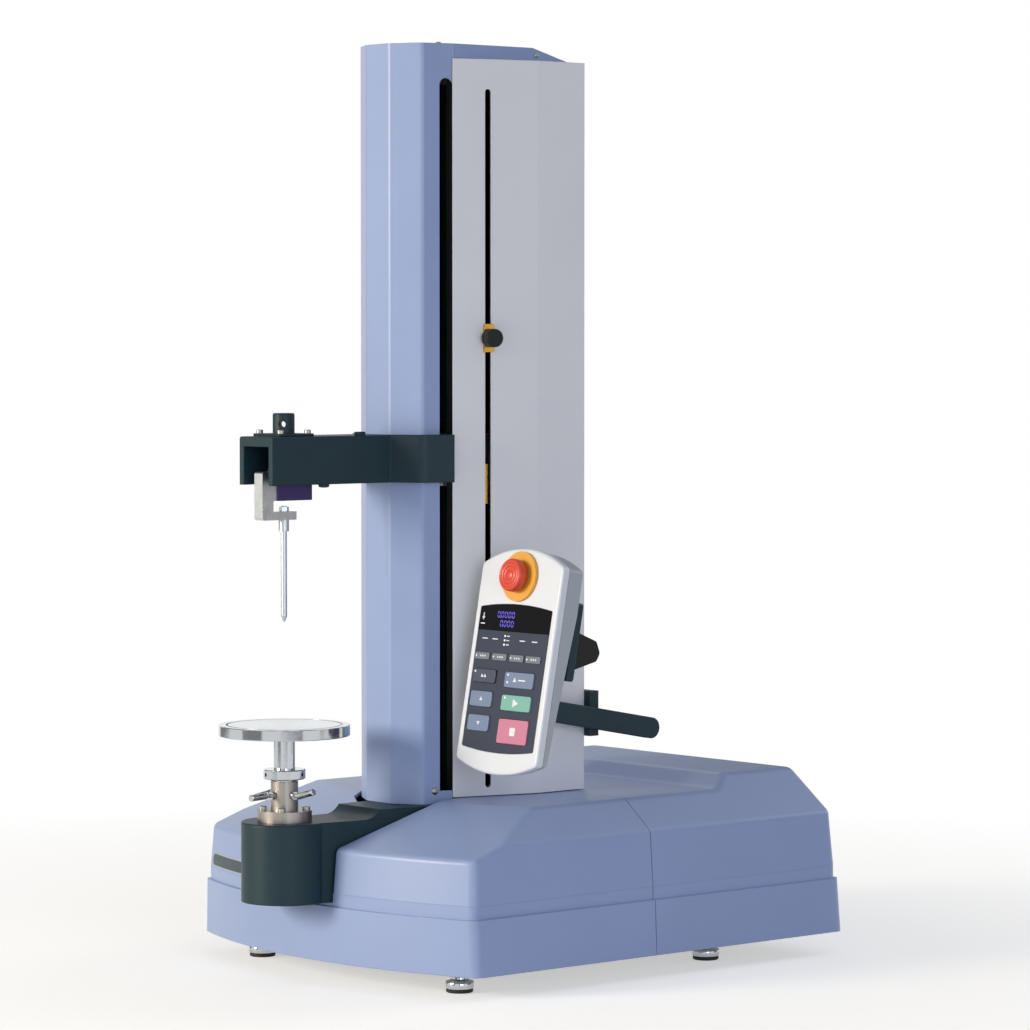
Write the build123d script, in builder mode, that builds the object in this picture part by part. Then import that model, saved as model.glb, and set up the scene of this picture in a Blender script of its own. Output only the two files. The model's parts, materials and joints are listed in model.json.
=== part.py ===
from build123d import *
from math import atan2, cos, degrees, radians, sin, sqrt, tan
import os

# Table-top universal testing machine with one column.
# X runs to the right seen from the front, Y runs to the back, Z is up.
# The origin is on the table under the middle of the machine's outline.

# Driving dimensions, millimetres and degrees
overall_height = 860.0
overall_depth = 582.0
running_gap = 0.05
slide_gap = 0.4
seat_gap = 0.3

# Base housing
base_width = 400.0
bow_radius = 520.0
bow_setback = 19.0
base_flare = 2.5
corner_radius = 12.0
tray_bottom_z = 21.0
tray_top_z = 72.0
band_height = 12.0
band_step = 3.0
seam_y = 45.0
seam_width = 0.8
cover_wall = 3.0
cover_lean = 4.5
roof_front_z = 124.0
roof_slope = 20.0
plateau_z = 162.5
plateau_half_width = 158.0
side_slope = 38.0
rear_plateau_z = 175.0
step_front_y = 162.0
step_run = 22.0
roof_fillet = 14.0
shoulder_fillet = 6.0

# Base plate and levelling feet
plate_thickness = 6.0
tray_flange = 3.0
foot_x = 146.0
foot_front_y = -145.0
foot_rear_y = 160.0
foot_diameter = 26.0
foot_height = 11.0
foot_pad_height = 4.0
stud_diameter = 10.0

# Table casting
boss_radius = 39.7
boss_bottom_z = 75.6
boss_top_z = 148.7
pad_top_z = 157.5
crease_angle = 49.2
flank_angle = 10.0
neck_left_x = -19.0
ramp_foot_y = -172.7
ramp_run = 17.6
platform_top_z = 72.0
platform_thickness = 12.0
casting_back_y = 160.0
tunnel_half_width = 40.0
pedestal_wall = 10.0

# Column
column_front_y = -121.0
nose_half_width = 17.0
nose_point = (45.4, -104.7)
nose_end = (50.0, -88.0)
slot_width = 12.96
slot_bottom_z = 170.0
slot_top_z = 828.0
side_face_run = 87.6
side_rear_y = 67.0
column_cover_bottom_z = 157.8
side_cover_bottom_z = 163.3
side_cover_top_z = 846.5
sheet = 2.0
bend_radius = 6.0
rear_cover_half_width = 54.0
bevel_angle = 16.7
bevel_run = 45.0
frame_half_width = 44.0
frame_front_y = -8.0
frame_back_y = 56.0
frame_wall = 6.0

# Drive
screw_diameter = 16.0
screw_y = -42.0
rail_x = 30.0
rail_width = 12.0
rail_depth = 10.0
motor_y = 118.0
motor_size = 76.0
screw_pulley_radius = 22.0
motor_pulley_radius = 11.0
belt_z = 44.0
belt_width = 9.0
belt_thickness = 1.5

# Crosshead and load string
arm_half_width = 24.5
arm_front_y = -262.6
arm_bottom_z = 456.0
arm_height = 44.0
arm_wall = 6.0
arm_top_wall = 9.0
yoke_offset = 8.0
yoke_clearance = 1.2
web_run_start = 3.5
web_run_end = 11.5
web_depth = 18.0
cell_bottom_z = 441.5
cell_height = 29.0
cell_width = 16.0
cell_length = 38.6
cell_front = 12.2
bracket_width = 12.0
bracket_foot_z = 424.0
bracket_foot_height = 7.5
bracket_front = 29.0
bracket_spine = 12.6
bracket_reach = 10.0
joint_plate_size = 40.0
joint_plate_height = 2.6
joint_diameter = 20.0
joint_height = 18.4
spigot_diameter = 23.0
joint_hole = 6.0
joint_hole_up = 11.0
collet_diameter = 9.5
collet_height = 10.5
rod_diameter = 5.5
rod_bottom_z = 336.0
tip_height = 5.0

# Lower fixture
platen_diameter = 120.0
platen_height = 10.0
platen_top_z = 237.0
platen_groove_radius = 51.5
platen_groove = 2.0
stem_diameter = 19.5
flange_diameter = 50.0
flange_height = 10.0
post_diameter = 25.0
post_height = 26.6
bolt_circle = 40.0
lever_z = 172.8
lever_diameter = 4.0
lever_grip = 6.0
lever_reach = 44.0
lever_crank = 15.0
ring_diameter = 38.5
ring_height = 9.0
ring_bottom_z = 187.3

# Limit stops
stop_slot_run = 36.4
stop_slot_width = 6.0
stop_slot_bottom_z = 171.0
stop_slot_top_z = 819.0
upper_stop_z = 589.0
lower_stop_z = 250.0
stop_height = 26.0
stop_knob_diameter = 17.0
stop_knob_height = 13.0
limit_rod_diameter = 5.0
limit_rod_depth = 11.5
finger_bottom_z = 435.0
finger_height = 37.0
finger_depth = 5.2

# Handset and its holder
handset_x = 139.7
handset_y = -80.8
handset_z = 293.6
handset_lean = 10.6
handset_width = 113.0
handset_half_height = 90.4
handset_top_arc = 15.2
handset_bottom_arc = 12.0
bezel_depth = 9.0
handset_depth = 25.0
handset_wall = 2.0
handset_taper_up = -50.0
panel_half_width = 49.5
panel_top = 50.0
panel_bottom = -78.5
panel_arc = 4.0
panel_depth = 2.4
key_height = 1.2
key_travel = 0.6
key_floor = 5.0
estop_up = 79.5
estop_collar_diameter = 46.0
estop_collar_height = 3.0
estop_head_diameter = 30.0
estop_head_height = 15.0
estop_stem_radius = 7.0
estop_travel = 2.0
holder_plate_width = 106.0
holder_plate_low = -9.6
holder_plate_high = 62.0
holder_plate_thickness = 8.5
arm_bar_x = 86.0
arm_bar_thickness = 8.0
arm_bar_height = 20.0
arm_bar_up = -34.4
arm_bar_end = 239.0
block_depth = 12.0
block_bottom_z = 213.5
block_height = 42.5
pivot_reach = 5.5
hook_x = 32.3
hook_width = 24.0
hook_up = 18.0

# Rear sockets and inner pieces
socket_panel_x = -70.0
socket_panel_z = 51.0
socket_panel_width = 150.0
socket_panel_height = 30.0
socket_panel_sheet = 2.0
inlet_x = -118.0
inlet_width = 27.0
inlet_height = 20.0
inlet_depth = 22.0
rocker_x = -88.0
rocker_width = 13.0
rocker_height = 19.0
rocker_pin_radius = 1.5
rocker_pin_depth = 4.5
board_thickness = 1.6

# Worked-out places
axis_y = -overall_depth / 2 + platen_diameter / 2
base_rear_y = overall_depth / 2 - base_flare
bow_front_y = axis_y + bow_setback
bow_centre_y = bow_front_y + bow_radius
band_top_z = tray_top_z + band_height
plate_bottom_z = tray_bottom_z + tray_flange
plate_top_z = plate_bottom_z + plate_thickness
arm_top_z = arm_bottom_z + arm_height
opening_half_width = rear_cover_half_width - sheet


# Outline helpers

def base_outline(inset, corner, flare=0.0):
    """Face of the base seen from above, drawn in by inset, with a bowed front."""
    width = base_width + 2 * flare - 2 * inset
    length = base_rear_y + flare - inset - (bow_front_y - 40)
    middle_y = bow_front_y - 40 + length / 2
    with BuildSketch() as face:
        with Locations((0, bow_centre_y)):
            Circle(bow_radius - inset)
        with Locations((0, middle_y)):
            Rectangle(width, length, mode=Mode.INTERSECT)
        fillet(face.vertices(), max(corner - inset * 0.5, 2.0))
    return face.sketch


def along_side(run, depth=0.0):
    """Point on the column's slanted side line, run behind the nose's end, depth inwards."""
    return (nose_end[0] + run * side_dir[0] - depth * side_normal[0],
            nose_end[1] + run * side_dir[1] - depth * side_normal[1])


def unit(start, end):
    length = sqrt((end[0] - start[0]) ** 2 + (end[1] - start[1]) ** 2)
    return ((end[0] - start[0]) / length, (end[1] - start[1]) / length)


side_dir = unit(nose_point, nose_end)
side_normal = (side_dir[1], -side_dir[0])
nose_dir = unit((nose_half_width, column_front_y), nose_point)
nose_normal = (nose_dir[1], -nose_dir[0])
side_yaw = degrees(atan2(side_normal[1], side_normal[0]))
side_corner = along_side(slot_width + side_face_run)
stop_centre = along_side(slot_width + stop_slot_run)


def meet(point_a, dir_a, point_b, dir_b):
    """Where two lines in the plan cross."""
    det = dir_a[0] * dir_b[1] - dir_a[1] * dir_b[0]
    dx = point_b[0] - point_a[0]
    dy = point_b[1] - point_a[1]
    t = (dx * dir_b[1] - dy * dir_b[0]) / det
    return (point_a[0] + t * dir_a[0], point_a[1] + t * dir_a[1])


def nose_line(offset, run):
    """Right half of the column's nose, moved outwards by offset, ending run along the side."""
    front = (0.0, column_front_y - offset)
    slant = (nose_point[0] + offset * nose_normal[0], nose_point[1] + offset * nose_normal[1])
    side = along_side(0, -offset)
    first = meet(front, (1.0, 0.0), slant, nose_dir)
    second = meet(slant, nose_dir, side, side_dir)
    return [first, second, along_side(run, -offset)]


def nose_face(offset, run, radius):
    """Face inside the nose's outline, moved outwards by offset, its four bends rounded."""
    points = mirrored(nose_line(offset, run))
    bends = nose_end[1] - offset - 1
    with BuildSketch() as face:
        with BuildLine():
            Polyline(*points, close=True)
        make_face()
        fillet([v for v in face.vertices() if v.Y < bends], radius)
    return face.sketch


def mirrored(points):
    """Closed outline from its right half, symmetric about the Y axis."""
    return list(points) + [(-x, y) for x, y in reversed(points)]


def hull_face(points):
    """Flat face with straight edges through the points."""
    with BuildSketch() as face:
        with BuildLine():
            Polyline(*points, close=True)
        make_face()
    return face.sketch


def side_plane(run, z, depth=0.0):
    """Plane on the column's right slanted side, its normal pointing out."""
    x, y = along_side(run, depth)
    return Plane(origin=(x, y, z), x_dir=(side_dir[0], side_dir[1], 0),
                 z_dir=(side_normal[0], side_normal[1], 0))


def face_plane(x, up, depth=0.0):
    """Plane on the handset's face, depth measured towards the back."""
    lean = radians(handset_lean)
    along_y = depth * cos(lean) + up * sin(lean)
    along_z = up * cos(lean) - depth * sin(lean)
    return Plane(origin=(handset_x + x, handset_y + along_y, handset_z + along_z),
                 x_dir=(1, 0, 0), z_dir=(0, -cos(lean), sin(lean)))


def section_plane(x):
    """Upright plane across the handset: first direction up its face, second one to its back."""
    lean = radians(handset_lean)
    return Plane(origin=face_plane(x, 0).origin, x_dir=(0, sin(lean), cos(lean)), z_dir=(-1, 0, 0))


# Base

def make_base_plate():
    outline = base_outline(cover_wall + seat_gap, corner_radius)
    feet = [(sx * foot_x, y) for sx in (-1, 1) for y in (foot_front_y, foot_rear_y)]
    with BuildPart() as base_plate:
        with BuildSketch(Plane.XY.offset(plate_bottom_z)):
            add(outline)
        extrude(amount=plate_thickness)
        with BuildSketch(Plane.XY.offset(plate_top_z)):
            with Locations(*feet):
                Circle(stud_diameter)
        extrude(amount=stud_diameter)
        with BuildSketch(Plane.XY.offset(plate_bottom_z)):
            with Locations(*feet):
                Circle(stud_diameter / 2 + running_gap)
        extrude(amount=plate_thickness + stud_diameter, mode=Mode.SUBTRACT)
    return base_plate.part


def tray_form():
    """Whole lower tray as a thin shell, before it is cut into a front and a rear half."""
    foot = base_outline(0, corner_radius, base_flare)
    rim = base_outline(0, corner_radius)
    foot_inside = base_outline(cover_wall, corner_radius, base_flare)
    rim_inside = base_outline(cover_wall, corner_radius)
    band = base_outline(band_step, corner_radius)
    band_inside = base_outline(band_step + cover_wall, corner_radius)
    lip = base_outline(cover_wall + 10, corner_radius)
    with BuildPart() as tray:
        for z, outline in ((tray_bottom_z, foot), (tray_top_z, rim)):
            with BuildSketch(Plane.XY.offset(z)):
                add(outline)
        loft(ruled=True)
        with BuildSketch(Plane.XY.offset(tray_top_z)):
            add(band)
        extrude(amount=band_height)
        for z, outline in ((plate_bottom_z, foot_inside), (tray_top_z - cover_wall, rim_inside)):
            with BuildSketch(Plane.XY.offset(z)):
                add(outline)
        loft(ruled=True, mode=Mode.SUBTRACT)
        with BuildSketch(Plane.XY.offset(tray_top_z - cover_wall)):
            add(band_inside)
        extrude(amount=band_height + cover_wall, mode=Mode.SUBTRACT)
        with BuildSketch(Plane.XY.offset(tray_bottom_z)):
            add(lip)
        extrude(amount=tray_flange, mode=Mode.SUBTRACT)
    return tray.part


def neck_right_x(y):
    """Right flank of the casting's neck at depth y."""
    crease = radians(crease_angle)
    start_x = boss_radius * sin(crease)
    start_y = axis_y - boss_radius * cos(crease)
    return start_x + (y - start_y) * tan(radians(flank_angle))


def half_space(side):
    """Big block on the front or the rear side of the vertical seam."""
    length = overall_depth
    middle = seam_y + side * (seam_width / 2 + length / 2)
    with BuildPart() as block:
        with Locations((0, middle, 0)):
            Box(2 * base_width, length, 3 * rear_plateau_z)
    return block.part


def make_front_tray():
    form = tray_form()
    keep = half_space(-1)
    left = neck_left_x - seat_gap * 10
    right = neck_right_x(bow_front_y) + seat_gap * 10
    with BuildPart() as front_tray:
        add(form)
        add(keep, mode=Mode.INTERSECT)
        with BuildSketch(Plane.XY.offset(boss_bottom_z - seat_gap)):
            with Locations(((left + right) / 2, bow_front_y)):
                Rectangle(right - left, 40)
            with Locations((0, axis_y)):
                Circle(boss_radius + 8 * seat_gap)
        extrude(amount=band_height, mode=Mode.SUBTRACT)
    return front_tray.part


def make_rear_tray():
    form = tray_form()
    keep = half_space(1)
    with BuildPart() as rear_tray:
        add(form)
        add(keep, mode=Mode.INTERSECT)
        with BuildSketch(Plane.XZ.offset(-base_rear_y - 10)):
            with Locations((socket_panel_x, socket_panel_z)):
                RectangleRounded(socket_panel_width - 12, socket_panel_height - 6, 2)
            with GridLocations(10, 1, 8, 1):
                with Locations((110, socket_panel_z)):
                    Rectangle(4, 28)
        extrude(amount=30, mode=Mode.SUBTRACT)
    return rear_tray.part


# Upper covers

def cover_form(inset):
    """Solid under the base's upper covers, its walls and roof drawn in by inset."""
    lean = tan(radians(cover_lean))
    top_z = rear_plateau_z + 15
    foot = base_outline(band_step + inset, corner_radius)
    head = base_outline(band_step + inset + lean * (top_z - band_top_z), corner_radius)
    drop = inset / cos(radians(roof_slope))
    side_drop = inset / cos(radians(side_slope))
    slope = tan(radians(roof_slope))
    side = tan(radians(side_slope))
    low = plateau_z - inset
    high = rear_plateau_z - inset
    crest = bow_radius - 5 - (low - roof_front_z + drop) / slope
    lip = bow_radius + 20
    lip_z = roof_front_z - drop + slope * (bow_radius - 5 - lip)
    half_low = plateau_half_width - (side_drop - inset) / side
    half_high = half_low - (high - low) / side
    far_z = low - side * 60
    with BuildPart() as form:
        for z, outline in ((band_top_z, foot), (top_z, head)):
            with BuildSketch(Plane.XY.offset(z)):
                add(outline)
        loft(ruled=True)
        with BuildSketch(Plane.XZ.offset(-overall_depth)):
            with BuildLine():
                Polyline((-half_low - 60, 0), (-half_low - 60, far_z), (-half_high, high),
                         (half_high, high), (half_low + 60, far_z), (half_low + 60, 0), close=True)
            make_face()
        extrude(amount=2 * overall_depth, mode=Mode.INTERSECT)
        with BuildSketch(Plane(origin=(0, bow_centre_y, 0), x_dir=(0, -1, 0), z_dir=(-1, 0, 0))):
            with BuildLine():
                Polyline((crest, low), (lip, lip_z), (lip, top_z + 5), (crest, top_z + 5), close=True)
            make_face()
        revolve(axis=Axis((0, bow_centre_y, 0), (0, 0, 1)), revolution_arc=360, mode=Mode.SUBTRACT)
        with BuildSketch(Plane.YZ.offset(-base_width)):
            with BuildLine():
                Polyline((-overall_depth, low), (step_front_y + inset / 2, low),
                         (step_front_y + inset / 2 + step_run, high),
                         (step_front_y + inset / 2 + step_run, top_z + 5),
                         (-overall_depth, top_z + 5), close=True)
            make_face()
        extrude(amount=2 * base_width, mode=Mode.SUBTRACT)
        upper = [edge for edge in form.edges() if edge.center().Z > roof_front_z - 6]
        fillet([edge for edge in upper if not beside_wall(edge)], roof_fillet - inset)
        upper = [edge for edge in form.edges() if edge.center().Z > roof_front_z - 6]
        fillet([edge for edge in upper if beside_wall(edge)], shoulder_fillet - inset / 2)
    return form.part


def beside_wall(edge):
    """True for an edge between a cover's wall and its roof."""
    middle = edge.center()
    at_side = abs(middle.X) > plateau_half_width + 25
    return at_side or middle.Y > base_rear_y - 18 or middle.Y < bow_front_y + 52


def cover_shell():
    """Thin shell of the three upper covers together."""
    outside = cover_form(0)
    inside = cover_form(cover_wall)
    with BuildPart() as shell:
        add(outside)
        add(inside, mode=Mode.SUBTRACT)
    return shell.part


def column_opening(side):
    """Edge of the opening round the neck and the column, on one side of the machine."""
    inner = opening_half_width
    if side > 0:
        gap = seat_gap * 10
        neck = [(neck_right_x(y) + gap, y) for y in (-300.0, -96.0)]
        return neck + [(57.0, -84.0), (55.0, -71.0), (inner, -68.0), (inner, seam_y - seam_width / 2)]
    gap = seat_gap * 10
    left = neck_left_x - gap
    return [(left, -300.0), (left, -126.0), (-50.0, -110.0), (-57.0, -84.0), (-55.0, -71.0),
            (-inner, -68.0), (-inner, seam_y - seam_width / 2)]


def make_front_cover(shell, side):
    edge = column_opening(side)
    outline = edge + [(side * base_width, seam_y - seam_width / 2), (side * base_width, -300.0)]
    region = hull_face(outline)
    with BuildPart() as front_cover:
        add(shell)
        with BuildSketch(Plane.XY):
            add(region)
        extrude(amount=2 * rear_plateau_z, mode=Mode.INTERSECT)
        with BuildSketch(Plane.XY):
            with Locations((0, axis_y)):
                Circle(boss_radius + 8 * seat_gap)
        extrude(amount=2 * rear_plateau_z, mode=Mode.SUBTRACT)
    return front_cover.part


def make_rear_cover(shell):
    keep = half_space(1)
    with BuildPart() as rear_cover:
        add(shell)
        add(keep, mode=Mode.INTERSECT)
        with BuildSketch(Plane.XY.offset(plateau_z - 20)):
            with Locations((0, side_rear_y - 3 - 20)):
                Rectangle(2 * opening_half_width, 40)
        extrude(amount=40, mode=Mode.SUBTRACT)
        with BuildSketch(Plane.XZ.offset(-base_rear_y - 10)):
            with GridLocations(10, 1, 10, 1):
                with Locations((-60, 115)):
                    Rectangle(4, 36)
        extrude(amount=40, mode=Mode.SUBTRACT)
    return rear_cover.part


# Table casting

def make_table_casting():
    crease = radians(crease_angle)
    start = (boss_radius * sin(crease), axis_y - boss_radius * cos(crease))
    back_y = -94.0
    neck = hull_face([(neck_left_x, axis_y), start, (neck_right_x(back_y), back_y), (neck_left_x, back_y)])
    pad = hull_face([(neck_left_x + 3, ramp_foot_y), (neck_right_x(ramp_foot_y) - 1.5, ramp_foot_y),
                     (neck_right_x(back_y) - 1.5, back_y), (neck_left_x + 3, back_y)])
    ramp_end_y = ramp_foot_y + ramp_run
    rise = pad_top_z - boss_top_z
    ramp_radius = (ramp_run ** 2 + rise ** 2) / (2 * rise)
    with BuildPart() as table_casting:
        with BuildSketch(Plane.XY.offset(boss_bottom_z)):
            with Locations((0, axis_y)):
                Circle(boss_radius)
            add(neck)
        extrude(amount=boss_top_z - boss_bottom_z)
        with BuildSketch(Plane.XY.offset(boss_top_z - 5)):
            add(pad)
        extrude(amount=pad_top_z - boss_top_z + 5)
        with BuildSketch(Plane.YZ.offset(-60)):
            with BuildLine():
                RadiusArc((ramp_foot_y, boss_top_z), (ramp_end_y, pad_top_z), -ramp_radius)
                Polyline((ramp_end_y, pad_top_z), (ramp_end_y, pad_top_z + 5),
                         (ramp_foot_y - 10, pad_top_z + 5), (ramp_foot_y - 10, boss_top_z),
                         (ramp_foot_y, boss_top_z))
            make_face()
        extrude(amount=160, mode=Mode.SUBTRACT)
        low_top = [edge for edge in table_casting.edges() if abs(edge.center().Z - boss_top_z) < 0.1]
        fillet([edge for edge in low_top if edge.center().Y < ramp_foot_y - 20], 1.6)
        with BuildSketch(Plane.XY.offset(plate_top_z)):
            with Locations((10.5, -142)):
                Rectangle(59, 96)
        extrude(amount=boss_bottom_z - plate_top_z)
        with BuildSketch(Plane.XY.offset(platform_top_z - platform_thickness)):
            with Locations((0, (casting_back_y - 100) / 2)):
                Rectangle(112, casting_back_y + 100)
        extrude(amount=platform_thickness)
        with BuildSketch(Plane.XY.offset(plate_top_z)):
            for side in (-1, 1):
                with Locations((side * 51, (casting_back_y - 100) / 2)):
                    Rectangle(10, casting_back_y + 100)
        extrude(amount=platform_top_z - platform_thickness - plate_top_z)
        with BuildSketch(Plane.XY.offset(plate_top_z)):
            with Locations((10.5, -142)):
                Rectangle(59 - 2 * pedestal_wall, 96 - 2 * pedestal_wall)
        extrude(amount=95, mode=Mode.SUBTRACT)
        with BuildSketch(Plane.XY.offset(boss_bottom_z)):
            with Locations((0, axis_y)):
                Circle(28)
                Rectangle(5, 60, mode=Mode.SUBTRACT)
                Rectangle(60, 5, mode=Mode.SUBTRACT)
        extrude(amount=boss_top_z - boss_bottom_z - 16, mode=Mode.SUBTRACT)
        with BuildSketch(Plane.XY.offset(boss_bottom_z)):
            with Locations((0, axis_y)):
                with PolarLocations(bolt_circle / 2, 4, start_angle=45):
                    Circle(2.15)
        extrude(amount=boss_top_z - boss_bottom_z, mode=Mode.SUBTRACT)
        with BuildSketch(Plane.XY.offset(platform_top_z - platform_thickness)):
            with Locations((0, screw_y)):
                Circle(screw_diameter / 2 + 2)
            with Locations((0, motor_y)):
                Circle(20)
        extrude(amount=platform_thickness, mode=Mode.SUBTRACT)
    return table_casting.part


# Column

def make_column_frame():
    top_z = side_cover_top_z - 6
    head = nose_line(-sheet - seat_gap, slot_width)
    nose_plate = hull_face(mirrored(head + [(rear_cover_half_width - sheet - seat_gap, -60.0),
                                            (rear_cover_half_width - sheet - seat_gap, frame_back_y)]))
    lug_x, lug_y = along_side(slot_width + stop_slot_run, limit_rod_depth)
    with BuildPart() as column_frame:
        with BuildSketch(Plane.XY.offset(platform_top_z)):
            with Locations((0, (frame_front_y + frame_back_y) / 2)):
                Rectangle(2 * frame_half_width, frame_back_y - frame_front_y)
                Rectangle(2 * frame_half_width - 2 * frame_wall,
                          frame_back_y - frame_front_y - 2 * frame_wall, mode=Mode.SUBTRACT)
        extrude(amount=top_z - platform_top_z)
        with BuildSketch(Plane.XY.offset(top_z - 6)):
            add(nose_plate)
        extrude(amount=6)
        with BuildSketch(Plane.XZ.offset(-frame_back_y)):
            for z in (220, 500, 780):
                for side in (-1, 1):
                    with Locations((side * 32, z)):
                        Circle(6)
        extrude(amount=-(side_rear_y - sheet - seat_gap - frame_back_y))
        for z in (slot_bottom_z - 4, top_z - 12):
            with BuildSketch(Plane.XY.offset(z)):
                with BuildLine():
                    Polyline((40, frame_front_y + 6), (40, lug_y), (lug_x, lug_y - 6), (lug_x + 4, lug_y - 4),
                             (lug_x + 4, lug_y + 4), (44, frame_front_y + 6), close=True)
                make_face()
                with Locations((lug_x, lug_y)):
                    Circle(limit_rod_diameter / 2 + seat_gap / 2, mode=Mode.SUBTRACT)
            extrude(amount=6)
    return column_frame.part


def make_column_front_cover():
    outside = nose_face(0, slot_width - seat_gap, bend_radius)
    inside = nose_face(-sheet, slot_width + 5, bend_radius - sheet)
    cap_run = slot_width + 2.5
    cap = nose_face(0, cap_run, bend_radius)
    cap_inside = nose_face(-sheet, cap_run + 5, bend_radius - sheet)
    low = side_cover_top_z + seat_gap
    with BuildPart() as column_front_cover:
        with BuildSketch(Plane.XY.offset(column_cover_bottom_z)):
            add(outside)
        extrude(amount=low - column_cover_bottom_z)
        with BuildSketch(Plane.XY.offset(low)):
            add(cap)
        extrude(amount=overall_height - low)
        with BuildSketch(Plane.XY.offset(column_cover_bottom_z)):
            add(inside)
        extrude(amount=low - column_cover_bottom_z, mode=Mode.SUBTRACT)
        with BuildSketch(Plane.XY.offset(low)):
            add(cap_inside)
        extrude(amount=overall_height - sheet - low, mode=Mode.SUBTRACT)
        for side in (1, -1):
            plane = side_plane(slot_width / 2, 0, 20)
            origin = plane.origin
            flip = Plane(origin=(side * origin.X, origin.Y, 0), x_dir=(side * side_dir[0], side_dir[1], 0),
                         z_dir=(side * side_normal[0], side_normal[1], 0))
            with BuildSketch(flip):
                sense = 1 if flip.y_dir.Z > 0 else -1
                with Locations((0, sense * (slot_bottom_z + slot_top_z - slot_width / 2) / 2)):
                    Rectangle(slot_width, slot_top_z - slot_width / 2 - slot_bottom_z)
                with Locations((0, sense * (slot_top_z - slot_width / 2))):
                    Circle(slot_width / 2)
            extrude(amount=30, mode=Mode.SUBTRACT)
    return column_front_cover.part


def make_column_rear_cover():
    half = rear_cover_half_width
    low = side_cover_top_z + seat_gap
    back = hull_face(mirrored([(half, 8.0), (half, side_rear_y)]))
    back_inside = hull_face(mirrored([(half - sheet, 0.0), (half - sheet, side_rear_y - sheet)]))
    cap_front = along_side(slot_width + 2.5)[1] + seat_gap
    cap = hull_face(mirrored([(half, cap_front), (half, side_rear_y)]))
    cap_inside = hull_face(mirrored([(half - sheet, cap_front - 5), (half - sheet, side_rear_y - sheet)]))
    drop = bevel_run * tan(radians(bevel_angle))
    with BuildPart() as column_rear_cover:
        with BuildSketch(Plane.XY.offset(side_cover_bottom_z + seat_gap)):
            add(back)
        extrude(amount=low - side_cover_bottom_z - seat_gap)
        with BuildSketch(Plane.XY.offset(low)):
            add(cap)
        extrude(amount=overall_height - low)
        with BuildSketch(Plane.YZ.offset(-half - 5)):
            with BuildLine():
                Polyline((side_rear_y - bevel_run, overall_height), (side_rear_y + 5, overall_height - drop),
                         (side_rear_y + 5, overall_height + 5), (side_rear_y - bevel_run, overall_height + 5),
                         close=True)
            make_face()
        extrude(amount=2 * half + 10, mode=Mode.SUBTRACT)
        with BuildSketch(Plane.XY.offset(side_cover_bottom_z + seat_gap)):
            add(back_inside)
        extrude(amount=low - side_cover_bottom_z - seat_gap, mode=Mode.SUBTRACT)
        with BuildSketch(Plane.YZ.offset(-half + sheet)):
            with BuildLine():
                Polyline((cap_front - 5, low - 1), (cap_front - 5, overall_height - sheet),
                         (side_rear_y - bevel_run, overall_height - sheet),
                         (side_rear_y - sheet, overall_height - sheet - drop), (side_rear_y - sheet, low - 1),
                         close=True)
            make_face()
        extrude(amount=2 * (half - sheet), mode=Mode.SUBTRACT)
    return column_rear_cover.part


def side_cover_plan(inset):
    """Plan of the grey side cover, right hand; inset gives the inside of its sheet."""
    front = along_side(slot_width, inset)
    corner_x = side_corner[0] - inset
    slant = along_side(0, inset)
    corner = meet(slant, side_dir, (corner_x, 0.0), (0.0, 1.0))
    inner_x = rear_cover_half_width + seat_gap
    if inset == 0:
        return [front, corner, (corner_x, side_rear_y), (inner_x, side_rear_y), (inner_x, 5.0),
                (inner_x - 1.5, front[1] + 2)]
    front = along_side(slot_width + sheet, inset)
    return [front, corner, (corner_x, side_rear_y - inset), (inner_x - 10, side_rear_y - inset),
            (inner_x - 10, front[1] + 2)]


def make_side_cover(side):
    outline = [(side * x, y) for x, y in side_cover_plan(0)]
    inside = [(side * x, y) for x, y in side_cover_plan(sheet)]
    outside_face = hull_face(outline)
    inside_face = hull_face(inside)
    with BuildPart() as side_cover:
        with BuildSketch(Plane.XY.offset(side_cover_bottom_z)):
            add(outside_face)
        extrude(amount=side_cover_top_z - side_cover_bottom_z)
        with BuildSketch(Plane.XY.offset(side_cover_bottom_z)):
            add(inside_face)
        extrude(amount=side_cover_top_z - sheet - side_cover_bottom_z, mode=Mode.SUBTRACT)
        if side > 0:
            length = stop_slot_top_z - stop_slot_bottom_z
            with BuildSketch(side_plane(slot_width + stop_slot_run, stop_slot_bottom_z + length / 2, 5)):
                SlotOverall(length, stop_slot_width, rotation=90)
            extrude(amount=10, mode=Mode.SUBTRACT)
    return side_cover.part


def make_slot_liners():
    """Black strips behind the edges of both slots."""
    with BuildPart() as slot_liners:
        for side in (1, -1):
            for run in (-1.5, slot_width + 0.5):
                corners = [along_side(run, 2.0), along_side(run + 1.2, 2.0),
                           along_side(run + 1.2, 14.0), along_side(run, 14.0)]
                with BuildSketch(Plane.XY.offset(slot_bottom_z - 4)):
                    with BuildLine():
                        Polyline(*[(side * x, y) for x, y in corners], close=True)
                    make_face()
                extrude(amount=slot_top_z - slot_bottom_z + 4)
    return slot_liners.part


def make_guide_rails():
    with BuildPart() as guide_rails:
        with BuildSketch(Plane.XY.offset(platform_top_z + 20)):
            for side in (-1, 1):
                with Locations((side * rail_x, frame_front_y - rail_depth / 2)):
                    Rectangle(rail_width, rail_depth)
        extrude(amount=side_cover_top_z - 12 - seat_gap - platform_top_z - 20)
    return guide_rails.part


def make_screw_bearings():
    top_z = side_cover_top_z - 12
    with BuildPart() as screw_bearings:
        for z in (platform_top_z, top_z - 10):
            with BuildSketch(Plane.XY.offset(z)):
                with Locations((0, screw_y)):
                    RectangleRounded(44, 48, 3)
                    Circle(screw_diameter / 2 + running_gap, mode=Mode.SUBTRACT)
            extrude(amount=20 if z == platform_top_z else 10)
    return screw_bearings.part


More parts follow.
